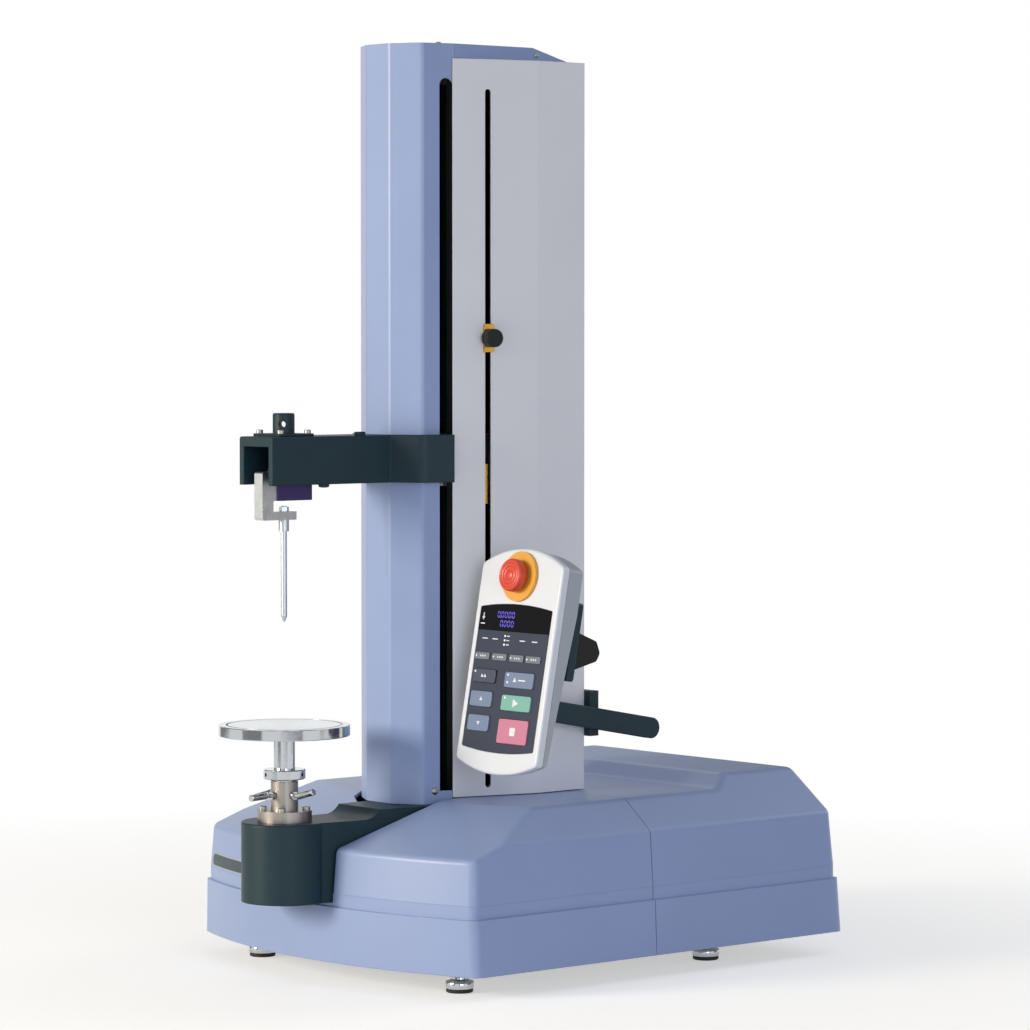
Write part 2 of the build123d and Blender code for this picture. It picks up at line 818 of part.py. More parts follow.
def make_ball_screw():
    with BuildPart() as ball_screw:
        with BuildSketch(Plane.XY.offset(belt_z - belt_width / 2 - 4)):
            with Locations((0, screw_y)):
                Circle(screw_diameter / 2)
        extrude(amount=side_cover_top_z - 12 - seat_gap - belt_z + belt_width / 2 + 4)
        with BuildSketch(Plane.XY.offset(belt_z - belt_width / 2 - 1)):
            with Locations((0, screw_y)):
                Circle(screw_pulley_radius)
        extrude(amount=belt_width + 2)
    return ball_screw.part


def make_drive_motor():
    height = 70.0
    with BuildPart() as drive_motor:
        with BuildSketch(Plane.XY.offset(platform_top_z)):
            with Locations((0, motor_y)):
                RectangleRounded(motor_size, motor_size, 6)
        extrude(amount=height)
        with BuildSketch(Plane.XY.offset(platform_top_z - 3)):
            with Locations((0, motor_y)):
                Circle(18)
        extrude(amount=3)
        with BuildSketch(Plane.XY.offset(platform_top_z - 3)):
            with Locations((0, motor_y)):
                Circle(4 + running_gap)
        extrude(amount=30, mode=Mode.SUBTRACT)
    return drive_motor.part


def make_motor_pulley():
    with BuildPart() as motor_pulley:
        with BuildSketch(Plane.XY.offset(belt_z - belt_width / 2 - 1)):
            with Locations((0, motor_y)):
                Circle(motor_pulley_radius)
        extrude(amount=belt_width + 2)
        with BuildSketch(Plane.XY.offset(belt_z - belt_width / 2 - 1)):
            with Locations((0, motor_y)):
                Circle(4)
        extrude(amount=platform_top_z + 20 - belt_z + belt_width / 2 + 1)
    return motor_pulley.part


def belt_outline(extra):
    """Plan of the belt loop, extra outside the pulleys."""
    big = screw_pulley_radius + extra
    small = motor_pulley_radius + extra
    sine = (big - small) / (motor_y - screw_y)
    cosine = sqrt(1 - sine ** 2)
    with BuildSketch() as face:
        with Locations((0, screw_y)):
            Circle(big)
        with Locations((0, motor_y)):
            Circle(small)
        with BuildLine():
            Polyline((big * cosine, screw_y + big * sine), (small * cosine, motor_y + small * sine),
                     (-small * cosine, motor_y + small * sine), (-big * cosine, screw_y + big * sine),
                     close=True)
        make_face()
    return face.sketch


def make_timing_belt():
    outside = belt_outline(seat_gap + belt_thickness)
    inside = belt_outline(seat_gap)
    with BuildPart() as timing_belt:
        with BuildSketch(Plane.XY.offset(belt_z - belt_width / 2)):
            add(outside)
            add(inside, mode=Mode.SUBTRACT)
        extrude(amount=belt_width)
    return timing_belt.part


# Electronics and rear sockets

def make_electronics():
    """Controller board on posts and a boxed supply, inside the base on the left and right."""
    with BuildPart() as electronics:
        with BuildSketch(Plane.XY.offset(plate_top_z)):
            for x in (-165, -85):
                for y in (-60, 60):
                    with Locations((x, y)):
                        Circle(3)
        extrude(amount=8)
        with BuildSketch(Plane.XY.offset(plate_top_z + 8)):
            with Locations((-125, 0)):
                Rectangle(100, 140)
        extrude(amount=board_thickness)
        with BuildSketch(Plane.XY.offset(plate_top_z + 8 + board_thickness)):
            with Locations((-140, -30)):
                Rectangle(22, 30)
            with Locations((-105, 25)):
                Rectangle(30, 18)
            with Locations((-145, 40)):
                Circle(8)
        extrude(amount=14)
        with BuildSketch(Plane.XY.offset(plate_top_z)):
            with Locations((125, 30)):
                Rectangle(80, 150)
        extrude(amount=38)
    return electronics.part


def panel_y():
    """Outer face of the connector panel, just behind the tray's rear wall."""
    return base_rear_y - cover_wall


def make_connector_panel():
    y = panel_y() - seat_gap
    with BuildPart() as connector_panel:
        with BuildSketch(Plane.XZ.offset(-y)):
            with Locations((socket_panel_x, socket_panel_z)):
                Rectangle(socket_panel_width, socket_panel_height)
            with Locations((inlet_x, socket_panel_z)):
                Rectangle(inlet_width + 2 * seat_gap, inlet_height + 2 * seat_gap, mode=Mode.SUBTRACT)
            with Locations((rocker_x, socket_panel_z)):
                Rectangle(rocker_width + 1, rocker_height + 1, mode=Mode.SUBTRACT)
        extrude(amount=socket_panel_sheet)
        with BuildSketch(Plane.XZ.offset(-y + socket_panel_sheet)):
            with Locations((rocker_x, socket_panel_z)):
                Rectangle(rocker_width + 7, rocker_height + 3)
                Rectangle(rocker_width + 1, rocker_height + 1, mode=Mode.SUBTRACT)
        extrude(amount=16)
        with BuildSketch(Plane.XZ.offset(-y + socket_panel_sheet + 14)):
            with Locations((rocker_x, socket_panel_z)):
                Rectangle(rocker_width + 7, rocker_height + 3)
        extrude(amount=2)
        with BuildSketch(Plane.YZ.offset(rocker_x - rocker_width / 2 - 2.3)):
            with Locations((y - rocker_pin_depth, socket_panel_z)):
                Circle(rocker_pin_radius + running_gap)
        extrude(amount=rocker_width + 4.6, mode=Mode.SUBTRACT)
        with BuildSketch(Plane.XZ.offset(-y - 3)):
            with Locations((-60, socket_panel_z), (-22, socket_panel_z)):
                RectangleRounded(24, 11, 2)
        extrude(amount=3)
    return connector_panel.part


def make_power_inlet():
    y = panel_y() - seat_gap
    with BuildPart() as power_inlet:
        with BuildSketch(Plane.XZ.offset(-y - 1)):
            with Locations((inlet_x, socket_panel_z)):
                Rectangle(inlet_width, inlet_height)
        extrude(amount=inlet_depth)
        with BuildSketch(Plane.XZ.offset(-y - 1)):
            with Locations((inlet_x, socket_panel_z)):
                RectangleRounded(inlet_width - 5, inlet_height - 6, 2)
        extrude(amount=inlet_depth - 5, mode=Mode.SUBTRACT)
    return power_inlet.part


def make_power_switch():
    """Rocker that tips about a level pin across the middle of its well."""
    y = panel_y() - seat_gap
    with BuildPart() as power_switch:
        with BuildSketch(Plane.YZ.offset(rocker_x - rocker_width / 2)):
            with BuildLine():
                Polyline((y - 7, socket_panel_z - rocker_height / 2 + 2),
                         (y + 2.5, socket_panel_z - rocker_height / 2 + 0.6),
                         (y + 0.2, socket_panel_z), (y + 2.5, socket_panel_z + rocker_height / 2 - 0.6),
                         (y - 7, socket_panel_z + rocker_height / 2 - 2), close=True)
            make_face()
        extrude(amount=rocker_width)
        with BuildSketch(Plane.YZ.offset(rocker_x - rocker_width / 2 - 2)):
            with Locations((y - rocker_pin_depth, socket_panel_z)):
                Circle(rocker_pin_radius)
        extrude(amount=rocker_width + 4)
    return power_switch.part


# Limit rod, stops and screws

def make_limit_rod():
    x, y = along_side(slot_width + stop_slot_run, limit_rod_depth)
    with BuildPart() as limit_rod:
        with BuildSketch(Plane.XY.offset(slot_bottom_z - 5)):
            with Locations((x, y)):
                Circle(limit_rod_diameter / 2)
        extrude(amount=side_cover_top_z - 13 - slot_bottom_z + 5)
        with BuildSketch(Plane.XY.offset(slot_top_z - 30)):
            with Locations((x, y)):
                Circle(4.2)
        extrude(amount=10)
    return limit_rod.part


def make_stop(z):
    """Brass slider: a T plate inside the cover with a stem through the slot."""
    run = slot_width + stop_slot_run
    with BuildPart() as stop:
        with BuildSketch(side_plane(run, z, sheet + seat_gap + 2.2)):
            Rectangle(stop_slot_width + 8, stop_height)
        extrude(amount=2.2)
        with BuildSketch(side_plane(run, z, sheet + seat_gap)):
            Rectangle(stop_slot_width - 2 * seat_gap, stop_height - 2)
        extrude(amount=sheet + 2 * seat_gap)
        with BuildSketch(side_plane(run, z, -seat_gap)):
            Rectangle(stop_slot_width + 4, stop_height)
        extrude(amount=2.2)
        with BuildSketch(side_plane(run, z, sheet + 2 * seat_gap)):
            Circle(2 + running_gap)
        extrude(amount=12, mode=Mode.SUBTRACT)
    return stop.part


def make_stop_knob(z):
    run = slot_width + stop_slot_run
    with BuildPart() as knob:
        with BuildSketch(side_plane(run, z, -3)):
            Circle(stop_knob_diameter / 2)
        extrude(amount=stop_knob_height)
        chamfer(knob.edges().filter_by(GeomType.CIRCLE), 1)
        with BuildSketch(side_plane(run, z, sheet + seat_gap)):
            Circle(2)
        extrude(amount=sheet + seat_gap + 4)
    return knob.part


def make_machine_screws():
    """Fixed screws: four in the lower flange, one on the column's top, one at a slot's foot."""
    flange_top = boss_top_z + flange_height
    with BuildPart() as machine_screws:
        with BuildSketch(Plane.XY.offset(boss_top_z - 12)):
            with Locations((0, axis_y)):
                with PolarLocations(bolt_circle / 2, 4, start_angle=45):
                    Circle(2)
        extrude(amount=flange_height + 12)
        with BuildSketch(Plane.XY.offset(flange_top)):
            with Locations((0, axis_y)):
                with PolarLocations(bolt_circle / 2, 4, start_angle=45):
                    Circle(3.5)
                    RegularPolygon(1.7, 6, mode=Mode.SUBTRACT)
        extrude(amount=3.5)
    return machine_screws.part


# Levelling feet

def make_foot(x, y):
    with BuildPart() as foot:
        with BuildSketch(Plane.XY):
            with Locations((x, y)):
                Circle(foot_diameter / 2 - 0.5)
        extrude(amount=foot_pad_height)
        with BuildSketch(Plane.XY.offset(foot_pad_height)):
            with Locations((x, y)):
                Circle(foot_diameter / 2)
        extrude(amount=foot_height - foot_pad_height)
        with BuildSketch(Plane.XY.offset(foot_height)):
            with Locations((x, y)):
                Circle(stud_diameter / 2)
        extrude(amount=plate_top_z + 4 - foot_height)
        with BuildSketch(Plane.XY.offset(plate_bottom_z - 6)):
            with Locations((x, y)):
                RegularPolygon(8, 6)
        extrude(amount=6 - seat_gap)
    return foot.part


# Lower fixture

def make_jig_flange():
    with BuildPart() as jig_flange:
        with BuildSketch(Plane.XY.offset(boss_top_z)):
            with Locations((0, axis_y)):
                Circle(flange_diameter / 2)
        extrude(amount=flange_height)
        with BuildSketch(Plane.XY.offset(boss_top_z + flange_height)):
            with Locations((0, axis_y)):
                Circle(post_diameter / 2)
        extrude(amount=post_height)
        with BuildSketch(Plane.XY.offset(boss_top_z + 4)):
            with Locations((0, axis_y)):
                Circle(stem_diameter / 2 + running_gap)
        extrude(amount=flange_height + post_height, mode=Mode.SUBTRACT)
        with BuildSketch(Plane.XY.offset(boss_top_z)):
            with Locations((0, axis_y)):
                with PolarLocations(bolt_circle / 2, 4, start_angle=45):
                    Circle(2.15)
        extrude(amount=flange_height, mode=Mode.SUBTRACT)
        for angle in (180, 270, 0):
            with BuildSketch(lever_plane(angle, 9)):
                Circle(lever_diameter / 2 + running_gap)
            extrude(amount=6, mode=Mode.SUBTRACT)
    return jig_flange.part


def lever_plane(angle, reach):
    """Plane across a clamp lever's axis, reach from the load axis."""
    x = cos(radians(angle))
    y = sin(radians(angle))
    return Plane(origin=(x * reach, axis_y + y * reach, lever_z), x_dir=(-y, x, 0), z_dir=(x, y, 0))


def make_clamp_lever(angle, roll):
    """Cranked lever screwed into the post; roll turns its grip about the threaded shank."""
    start = stem_diameter / 2 + 0.4
    bend = post_diameter / 2 + 9
    plane = lever_plane(angle, bend)
    x = cos(radians(angle))
    y = sin(radians(angle))
    sideways = sin(radians(lever_crank)) * cos(radians(roll))
    ahead = cos(radians(lever_crank))
    rise = sin(radians(lever_crank)) * sin(radians(roll))
    tip = Plane(origin=plane.origin, z_dir=(x * ahead - y * sideways, y * ahead + x * sideways, rise))
    with BuildPart() as lever:
        with BuildSketch(lever_plane(angle, start)):
            Circle(lever_diameter / 2)
        extrude(amount=bend - start + 1)
        with BuildSketch(lever_plane(angle, post_diameter / 2 + 0.4)):
            Circle(lever_grip / 2 + 0.8)
        extrude(amount=3)
        with BuildSketch(tip):
            Circle(lever_grip / 2)
        extrude(amount=lever_reach - bend)
        chamfer(lever.edges().filter_by(GeomType.CIRCLE).sort_by_distance((0, axis_y, lever_z))[-1], 0.8)
    return lever.part


def make_lock_ring():
    with BuildPart() as lock_ring:
        with BuildSketch(Plane.XY.offset(ring_bottom_z)):
            with Locations((0, axis_y)):
                Circle(ring_diameter / 2)
        extrude(amount=ring_height)
        chamfer(lock_ring.edges(), 0.8)
        with BuildSketch(Plane.XY.offset(ring_bottom_z)):
            with Locations((0, axis_y)):
                Circle(stem_diameter / 2 + running_gap)
        extrude(amount=ring_height, mode=Mode.SUBTRACT)
        for angle in (20, 140, 260):
            x = cos(radians(angle))
            y = sin(radians(angle))
            plane = Plane(origin=(x * 13, axis_y + y * 13, ring_bottom_z + ring_height / 2),
                          x_dir=(-y, x, 0), z_dir=(x, y, 0))
            with BuildSketch(plane):
                Circle(1.8)
            extrude(amount=10, mode=Mode.SUBTRACT)
    return lock_ring.part


def make_platen():
    bottom = platen_top_z - platen_height
    with BuildPart() as platen:
        with BuildSketch(Plane.XY.offset(bottom)):
            with Locations((0, axis_y)):
                Circle(platen_diameter / 2)
        extrude(amount=platen_height)
        chamfer(platen.edges(), 0.6)
        with BuildSketch(Plane.XY.offset(platen_top_z - 1)):
            with Locations((0, axis_y)):
                Circle(platen_groove_radius + platen_groove)
                Circle(platen_groove_radius, mode=Mode.SUBTRACT)
        extrude(amount=1, mode=Mode.SUBTRACT)
        with BuildSketch(Plane.XY.offset(boss_top_z + 4 + seat_gap)):
            with Locations((0, axis_y)):
                Circle(stem_diameter / 2)
        extrude(amount=bottom - boss_top_z - 4 - seat_gap)
    return platen.part


# Crosshead and load string

def make_crosshead_arm():
    """Hollow beam, the yoke round the column's nose and the two webs that enter the slots."""
    yoke = nose_face(yoke_offset, web_run_end, bend_radius + yoke_offset)
    yoke_inside = nose_face(yoke_clearance, web_run_end + 30, bend_radius)
    beam_back = column_front_y - yoke_clearance - 2
    hollow_back = column_front_y - yoke_offset
    web = [along_side(web_run_start, -yoke_clearance - 1), along_side(web_run_end, -yoke_clearance - 1),
           along_side(web_run_end, web_depth), along_side(web_run_start, web_depth)]
    web_faces = [hull_face([(side * x, y) for x, y in web]) for side in (1, -1)]
    with BuildPart() as crosshead_arm:
        with BuildSketch(Plane.XY.offset(arm_bottom_z)):
            with Locations((0, (arm_front_y + beam_back) / 2)):
                Rectangle(2 * arm_half_width, beam_back - arm_front_y)
            add(yoke)
        extrude(amount=arm_height)
        fillet(crosshead_arm.edges().filter_by(Axis.Y).group_by(Axis.Z)[-1], 3)
        with BuildSketch(Plane.XY.offset(arm_bottom_z)):
            with Locations((0, (arm_front_y + hollow_back) / 2 - 5)):
                Rectangle(2 * (arm_half_width - arm_wall), hollow_back - arm_front_y + 10)
        extrude(amount=arm_height - arm_top_wall, mode=Mode.SUBTRACT)
        with BuildSketch(Plane.XY.offset(arm_bottom_z)):
            add(yoke_inside)
        extrude(amount=arm_height, mode=Mode.SUBTRACT)
        with BuildSketch(Plane.XY.offset(arm_bottom_z)):
            for face in web_faces:
                add(face)
        extrude(amount=arm_height)
        with BuildSketch(Plane.XY.offset(arm_top_z - arm_top_wall)):
            with Locations((0, axis_y)):
                Circle(spigot_diameter / 2 + running_gap)
        extrude(amount=arm_top_wall, mode=Mode.SUBTRACT)
    return crosshead_arm.part


def make_carriage():
    """Block on the ball screw and the two rails, with a front plate between the webs."""
    ends = [along_side(web_run_start, web_depth + seat_gap), along_side(web_run_end, web_depth + seat_gap)]
    front_plate = hull_face(mirrored([ends[0], ends[1]]))
    block_back = frame_front_y - 1
    block_front = ends[1][1] + seat_gap
    with BuildPart() as carriage:
        with BuildSketch(Plane.XY.offset(arm_bottom_z - 4)):
            add(front_plate)
            with Locations((0, (block_front + block_back) / 2)):
                Rectangle(2 * (rail_x + 9), block_back - block_front)
            with Locations((0, block_front)):
                Rectangle(2 * rail_x - 4, 6)
            with Locations((0, screw_y)):
                Circle(screw_diameter / 2 + slide_gap, mode=Mode.SUBTRACT)
            for side in (-1, 1):
                with Locations((side * rail_x, frame_front_y - rail_depth / 2)):
                    Rectangle(rail_width + 2 * slide_gap, rail_depth + 2 * slide_gap, mode=Mode.SUBTRACT)
        extrude(amount=arm_height + 4)
    return carriage.part


def make_trip_finger():
    """Brass finger from the carriage to behind the stop slot, passing in front of the limit rod."""
    run = slot_width + stop_slot_run
    inner_x = rail_x + 9 + seat_gap
    root_y = along_side(run - 14, 0)[1]
    tip = along_side(run + 2.5, finger_depth)
    tip_inside = along_side(run + 2.5, finger_depth + 1.5)
    bend = along_side(run - 12, finger_depth)
    with BuildPart() as trip_finger:
        with BuildSketch(Plane.XY.offset(finger_bottom_z)):
            with BuildLine():
                Polyline((inner_x, root_y), bend, tip, tip_inside,
                         along_side(run - 10, finger_depth + 1.5), (inner_x, root_y + 2.5), close=True)
            make_face()
        extrude(amount=finger_height)
    return trip_finger.part


def make_joint_plate():
    hole = Plane(origin=(0, axis_y, arm_top_z + joint_hole_up), x_dir=(0, 0, 1),
                 z_dir=(sin(radians(45)), -cos(radians(45)), 0))
    with BuildPart() as joint_plate:
        with BuildSketch(Plane.XY.offset(arm_top_z)):
            with Locations((0, axis_y)):
                RectangleRounded(joint_plate_size, joint_plate_size, 1.5)
        extrude(amount=joint_plate_height)
        with BuildSketch(Plane.XY.offset(arm_top_z + joint_plate_height)):
            with Locations((0, axis_y)):
                Circle(joint_diameter / 2)
        extrude(amount=joint_height)
        chamfer(joint_plate.faces().sort_by(Axis.Z)[-1].edges(), 1)
        with BuildSketch(Plane.XY.offset(cell_bottom_z + cell_height)):
            with Locations((0, axis_y)):
                Circle(spigot_diameter / 2)
        extrude(amount=arm_top_z - cell_bottom_z - cell_height)
        with BuildSketch(hole):
            Circle(joint_hole / 2)
        extrude(amount=joint_diameter, both=True, mode=Mode.SUBTRACT)
        with BuildSketch(Plane.XY.offset(arm_top_z + joint_plate_height)):
            with Locations((0, axis_y)):
                with GridLocations(31, 31, 2, 2):
                    Circle(2.6)
                    RegularPolygon(1.4, 6, mode=Mode.SUBTRACT)
        extrude(amount=2)
    return joint_plate.part


def make_load_cell():
    front = axis_y - cell_front
    middle = front + cell_length / 2
    height = cell_bottom_z + cell_height / 2
    with BuildPart() as load_cell:
        with BuildSketch(Plane.YZ.offset(-cell_width / 2)):
            with Locations((middle, height)):
                Rectangle(cell_length, cell_height)
        extrude(amount=cell_width)
    return load_cell.part


def make_cell_bracket():
    """C-shaped bracket from the load cell's free end down to the probe's axis."""
    front = axis_y - bracket_front
    cell_front_y = axis_y - cell_front
    with BuildPart() as cell_bracket:
        with BuildSketch(Plane.YZ.offset(-bracket_width / 2)) as side:
            with BuildLine():
                Polyline((front, bracket_foot_z), (axis_y + bracket_reach, bracket_foot_z),
                         (axis_y + bracket_reach, bracket_foot_z + bracket_foot_height),
                         (front + bracket_spine, bracket_foot_z + bracket_foot_height),
                         (front + bracket_spine, cell_bottom_z), (cell_front_y, cell_bottom_z),
                         (cell_front_y, cell_bottom_z + 13.5), (front + bracket_spine, cell_bottom_z + 26.5),
                         (front, cell_bottom_z + 26.5), close=True)
            make_face()
            fillet(side.vertices().group_by(Axis.X)[0], 2.5)
        extrude(amount=bracket_width)
        with BuildSketch(Plane.XY.offset(bracket_foot_z)):
            with Locations((0, axis_y)):
                Circle(2.5 + running_gap)
        extrude(amount=bracket_foot_height, mode=Mode.SUBTRACT)
    return cell_bracket.part


def make_probe_rod():
    """Collet, slim rod and cone tip in one turned piece, held by a nut over the bracket's foot."""
    collet_bottom = bracket_foot_z - seat_gap / 2 - collet_height
    nut_z = bracket_foot_z + bracket_foot_height + seat_gap / 2
    with BuildPart() as probe_rod:
        with BuildSketch(Plane.XY.offset(rod_bottom_z)):
            with Locations((0, axis_y)):
                Circle(rod_diameter / 2)
        extrude(amount=collet_bottom - rod_bottom_z)
        with BuildSketch(Plane.XY.offset(collet_bottom)):
            with Locations((0, axis_y)):
                Circle(collet_diameter / 2)
        extrude(amount=collet_height)
        with BuildSketch(Plane.XY.offset(collet_bottom + collet_height)):
            with Locations((0, axis_y)):
                Circle(2.5)
        extrude(amount=nut_z + 5 - collet_bottom - collet_height)
        with BuildSketch(Plane.XY.offset(nut_z)):
            with Locations((0, axis_y)):
                RegularPolygon(4.6, 6)
        extrude(amount=4)
        with BuildSketch(Plane.XY.offset(rod_bottom_z)):
            with Locations((0, axis_y)):
                Circle(rod_diameter / 2)
        extrude(amount=-tip_height, taper=20)
    return probe_rod.part


# Handset and its holder

def handset_outline(inset=0.0):
    """Outline of the handset's face with bowed top and bottom edges, about its centre."""
    half = handset_width / 2 - inset
    high = handset_half_height - inset
    with BuildSketch() as face:
        with BuildLine():
            Line((-half, -high), (-half, high))
            ThreePointArc((-half, high), (0, high + handset_top_arc), (half, high))
            Line((half, high), (half, -high))
            ThreePointArc((half, -high), (0, -high - handset_bottom_arc), (-half, -high))
        make_face()
        fillet(face.vertices(), 5)
    return face.sketch


def panel_outline(inset=0.0):
    half = panel_half_width - inset
    top = panel_top - inset
    low = panel_bottom + inset
    with BuildSketch() as face:
        with BuildLine():
            Line((-half, low), (-half, top))
            ThreePointArc((-half, top), (0, top + panel_arc), (half, top))
            Line((half, top), (half, low))
            ThreePointArc((half, low), (0, low - panel_arc), (-half, low))
        make_face()
        fillet(face.vertices(), 2)
    return face.sketch


# Keys on the panel: left, right, bottom and top edge from the face's centre
keys = {
    "speed": (-46.0, -15.0, -19.5, -7.5),
    "return": (-1.5, 38.0, -22.0, -8.0),
    "start": (-1.8, 38.0, -43.0, -29.0),
    "stop": (-1.4, 39.0, -73.0, -51.0),
    "up": (-45.5, -16.0, -41.7, -27.8),
    "down": (-44.5, -15.5, -64.0, -49.7),
}


def key_centre(name):
    left, right, low, high = keys[name]
    return ((left + right) / 2, (low + high) / 2)


def key_face(name, extra):
    """Outline of a key about its own centre, drawn out by extra."""
    left, right, low, high = keys[name]
    with BuildSketch() as face:
        RectangleRounded(right - left + 2 * extra, high - low + 2 * extra, 2)
    return face.sketch


def make_handset_bezel():
    outline = handset_outline()
    recess = panel_outline(-seat_gap)
    pockets = [(key_centre(name), key_face(name, 1 + slide_gap)) for name in keys]
    with BuildPart() as handset_bezel:
        with BuildSketch(face_plane(0, 0, bezel_depth)):
            add(outline)
        extrude(amount=bezel_depth)
        fillet(handset_bezel.faces().sort_by(Axis.Y)[0].edges(), 2.5)
        with BuildSketch(face_plane(0, 0, panel_depth)):
            add(recess)
        extrude(amount=panel_depth + 1, mode=Mode.SUBTRACT)
        for (x, up), face in pockets:
            with BuildSketch(face_plane(x, up, key_floor)):
                add(face)
            extrude(amount=key_floor, mode=Mode.SUBTRACT)
        with BuildSketch(face_plane(0, estop_up, bezel_depth)):
            Circle(estop_stem_radius + slide_gap)
        extrude(amount=bezel_depth + 1, mode=Mode.SUBTRACT)
    return handset_bezel.part


def make_key_panel():
    outline = panel_outline()
    holes = [(key_centre(name), key_face(name, slide_gap)) for name in keys]
    with BuildPart() as key_panel:
        with BuildSketch(face_plane(0, 0, panel_depth)):
            add(outline)
        extrude(amount=panel_depth - 0.2)
        for left, right in ((-48, -28), (-24, -4), (0, 19.5), (22.5, 43)):
            with BuildSketch(face_plane((left + right) / 2, 4.75, 0.3)):
                RectangleRounded(right - left, 6.5, 1.2)
            extrude(amount=0.8)
        for (x, up), face in holes:
            with BuildSketch(face_plane(x, up, panel_depth)):
                add(face)
            extrude(amount=panel_depth, mode=Mode.SUBTRACT)
    return key_panel.part


def make_key(name):
    x, up = key_centre(name)
    cap = key_face(name, 0)
    flange = key_face(name, 1)
    with BuildPart() as key:
        with BuildSketch(face_plane(x, up, panel_depth + seat_gap + 1.2)):
            add(cap)
        extrude(amount=panel_depth + seat_gap + 1.2 + key_height)
        with BuildSketch(face_plane(x, up, panel_depth + seat_gap + 1.2)):
            add(flange)
        extrude(amount=1.2)
    return key.part


def make_handset_back():
    """Rear shell of the handset, thinner towards its bottom edge."""
    outline = handset_outline(1)
    outline_inside = handset_outline(1 + handset_wall)
    section = section_plane(handset_width)
    far = 2 * handset_half_height
    with BuildPart() as handset_back:
        with BuildSketch(face_plane(0, 0, handset_depth)):
            add(outline)
        extrude(amount=handset_depth - bezel_depth)
        with BuildSketch(section):
            with BuildLine():
                Polyline((-handset_taper_up, handset_depth), (-handset_half_height - 15, bezel_depth + 3),
                         (-handset_half_height - 15, handset_depth + 5), (-handset_taper_up, handset_depth + 5),
                         close=True)
            make_face()
        extrude(amount=2 * handset_width, mode=Mode.SUBTRACT)
        with BuildSketch(face_plane(0, 0, handset_depth - handset_wall)):
            add(outline_inside)
        extrude(amount=handset_depth - handset_wall - bezel_depth, mode=Mode.SUBTRACT)
    return handset_back.part


def make_estop_collar():
    with BuildPart() as estop_collar:
        with BuildSketch(face_plane(0, estop_up)):
            Circle(estop_collar_diameter / 2)
            Circle(estop_stem_radius + slide_gap, mode=Mode.SUBTRACT)
        extrude(amount=estop_collar_height)
    return estop_collar.part


def make_estop_head():
    """Mushroom head on a stem that goes down through the collar into the bezel."""
    under = estop_collar_height + estop_travel + seat_gap
    with BuildPart() as estop_head:
        with BuildSketch(face_plane(0, estop_up, -under)):
            Circle(estop_head_diameter / 2)
        extrude(amount=estop_head_height - under)
        fillet(estop_head.faces().sort_by(Axis.Y)[0].edges(), 3)
        with BuildSketch(face_plane(0, estop_up, bezel_depth - 2)):
            Circle(estop_stem_radius)
        extrude(amount=under + bezel_depth - 2)
    return estop_head.part


def bar_depth(y):
    """Depth behind the face at which the arm bar's middle line passes y."""
    lean = radians(handset_lean)
    return (y - handset_y - arm_bar_up * sin(lean)) / cos(lean)


def make_hanger_hook():
    """Black wedge-shaped hook on the back of the holder, for hanging the handset up."""
    back = handset_depth + seat_gap + holder_plate_thickness
    section = section_plane(hook_x + hook_width / 2)
    with BuildPart() as hanger_hook:
        with BuildSketch(section) as side:
            with BuildLine():
                Polyline((hook_up + 19, back), (hook_up + 13, back + 29), (hook_up + 3, back + 35),
                         (hook_up - 5, back + 32), (hook_up - 19, back), close=True)
            make_face()
            fillet(side.vertices().sort_by(Axis.Y)[-3:], 5)
        extrude(amount=hook_width)
    return hanger_hook.part


def make_holder_arm():
    """Plate behind the handset, its upright flange and the long bar that ends past the pivot."""
    start = handset_depth + seat_gap
    middle_up = (holder_plate_low + holder_plate_high) / 2
    bar_x = arm_bar_x - handset_x
    section = section_plane(bar_x + arm_bar_thickness)
    pivot = bar_depth(side_rear_y + seat_gap + block_depth / 2)
    with BuildPart() as holder_arm:
        with BuildSketch(face_plane(bar_x + holder_plate_width / 2, middle_up, start + holder_plate_thickness)):
            RectangleRounded(holder_plate_width, holder_plate_high - holder_plate_low, 3)
        extrude(amount=holder_plate_thickness)
        with BuildSketch(section):
            with BuildLine():
                Polyline((arm_bar_up - arm_bar_height / 2, start), (arm_bar_up - arm_bar_height / 2, arm_bar_end - 10),
                         (arm_bar_up + arm_bar_height / 2, arm_bar_end - 10),
                         (arm_bar_up + arm_bar_height / 2, start + 34),
                         (holder_plate_high - 6, start + holder_plate_thickness),
                         (holder_plate_high - 6, start), close=True)
            make_face()
            with Locations((arm_bar_up, arm_bar_end - arm_bar_height / 2)):
                Circle(arm_bar_height / 2)
        extrude(amount=arm_bar_thickness)
        with BuildSketch(section_plane(bar_x + pivot_reach + seat_gap)):
            with Locations((arm_bar_up, pivot)):
                Circle(4 + running_gap)
        extrude(amount=pivot_reach + 1, mode=Mode.SUBTRACT)
    return holder_arm.part


def make_holder_block():
    """Block on the column's back edge with the pivot bolt for the holder's arm."""
    y = side_rear_y + seat_gap
    pivot = face_plane(0, arm_bar_up, bar_depth(y + block_depth / 2)).origin
    left = rear_cover_half_width + 6
    right = arm_bar_x - 1.4
    with BuildPart() as holder_block:
        with BuildSketch(Plane.XY.offset(block_bottom_z)):
            with Locations(((left + right) / 2, y + block_depth / 2)):
                RectangleRounded(right - left, block_depth, 2)
        extrude(amount=block_height)
        with BuildSketch(Plane.YZ.offset(right - 5)):
            with Locations((pivot.Y, pivot.Z)):
                Circle(4)
        extrude(amount=arm_bar_x - right + 5 + pivot_reach)
    return holder_block.part


# All pieces under the names of their files

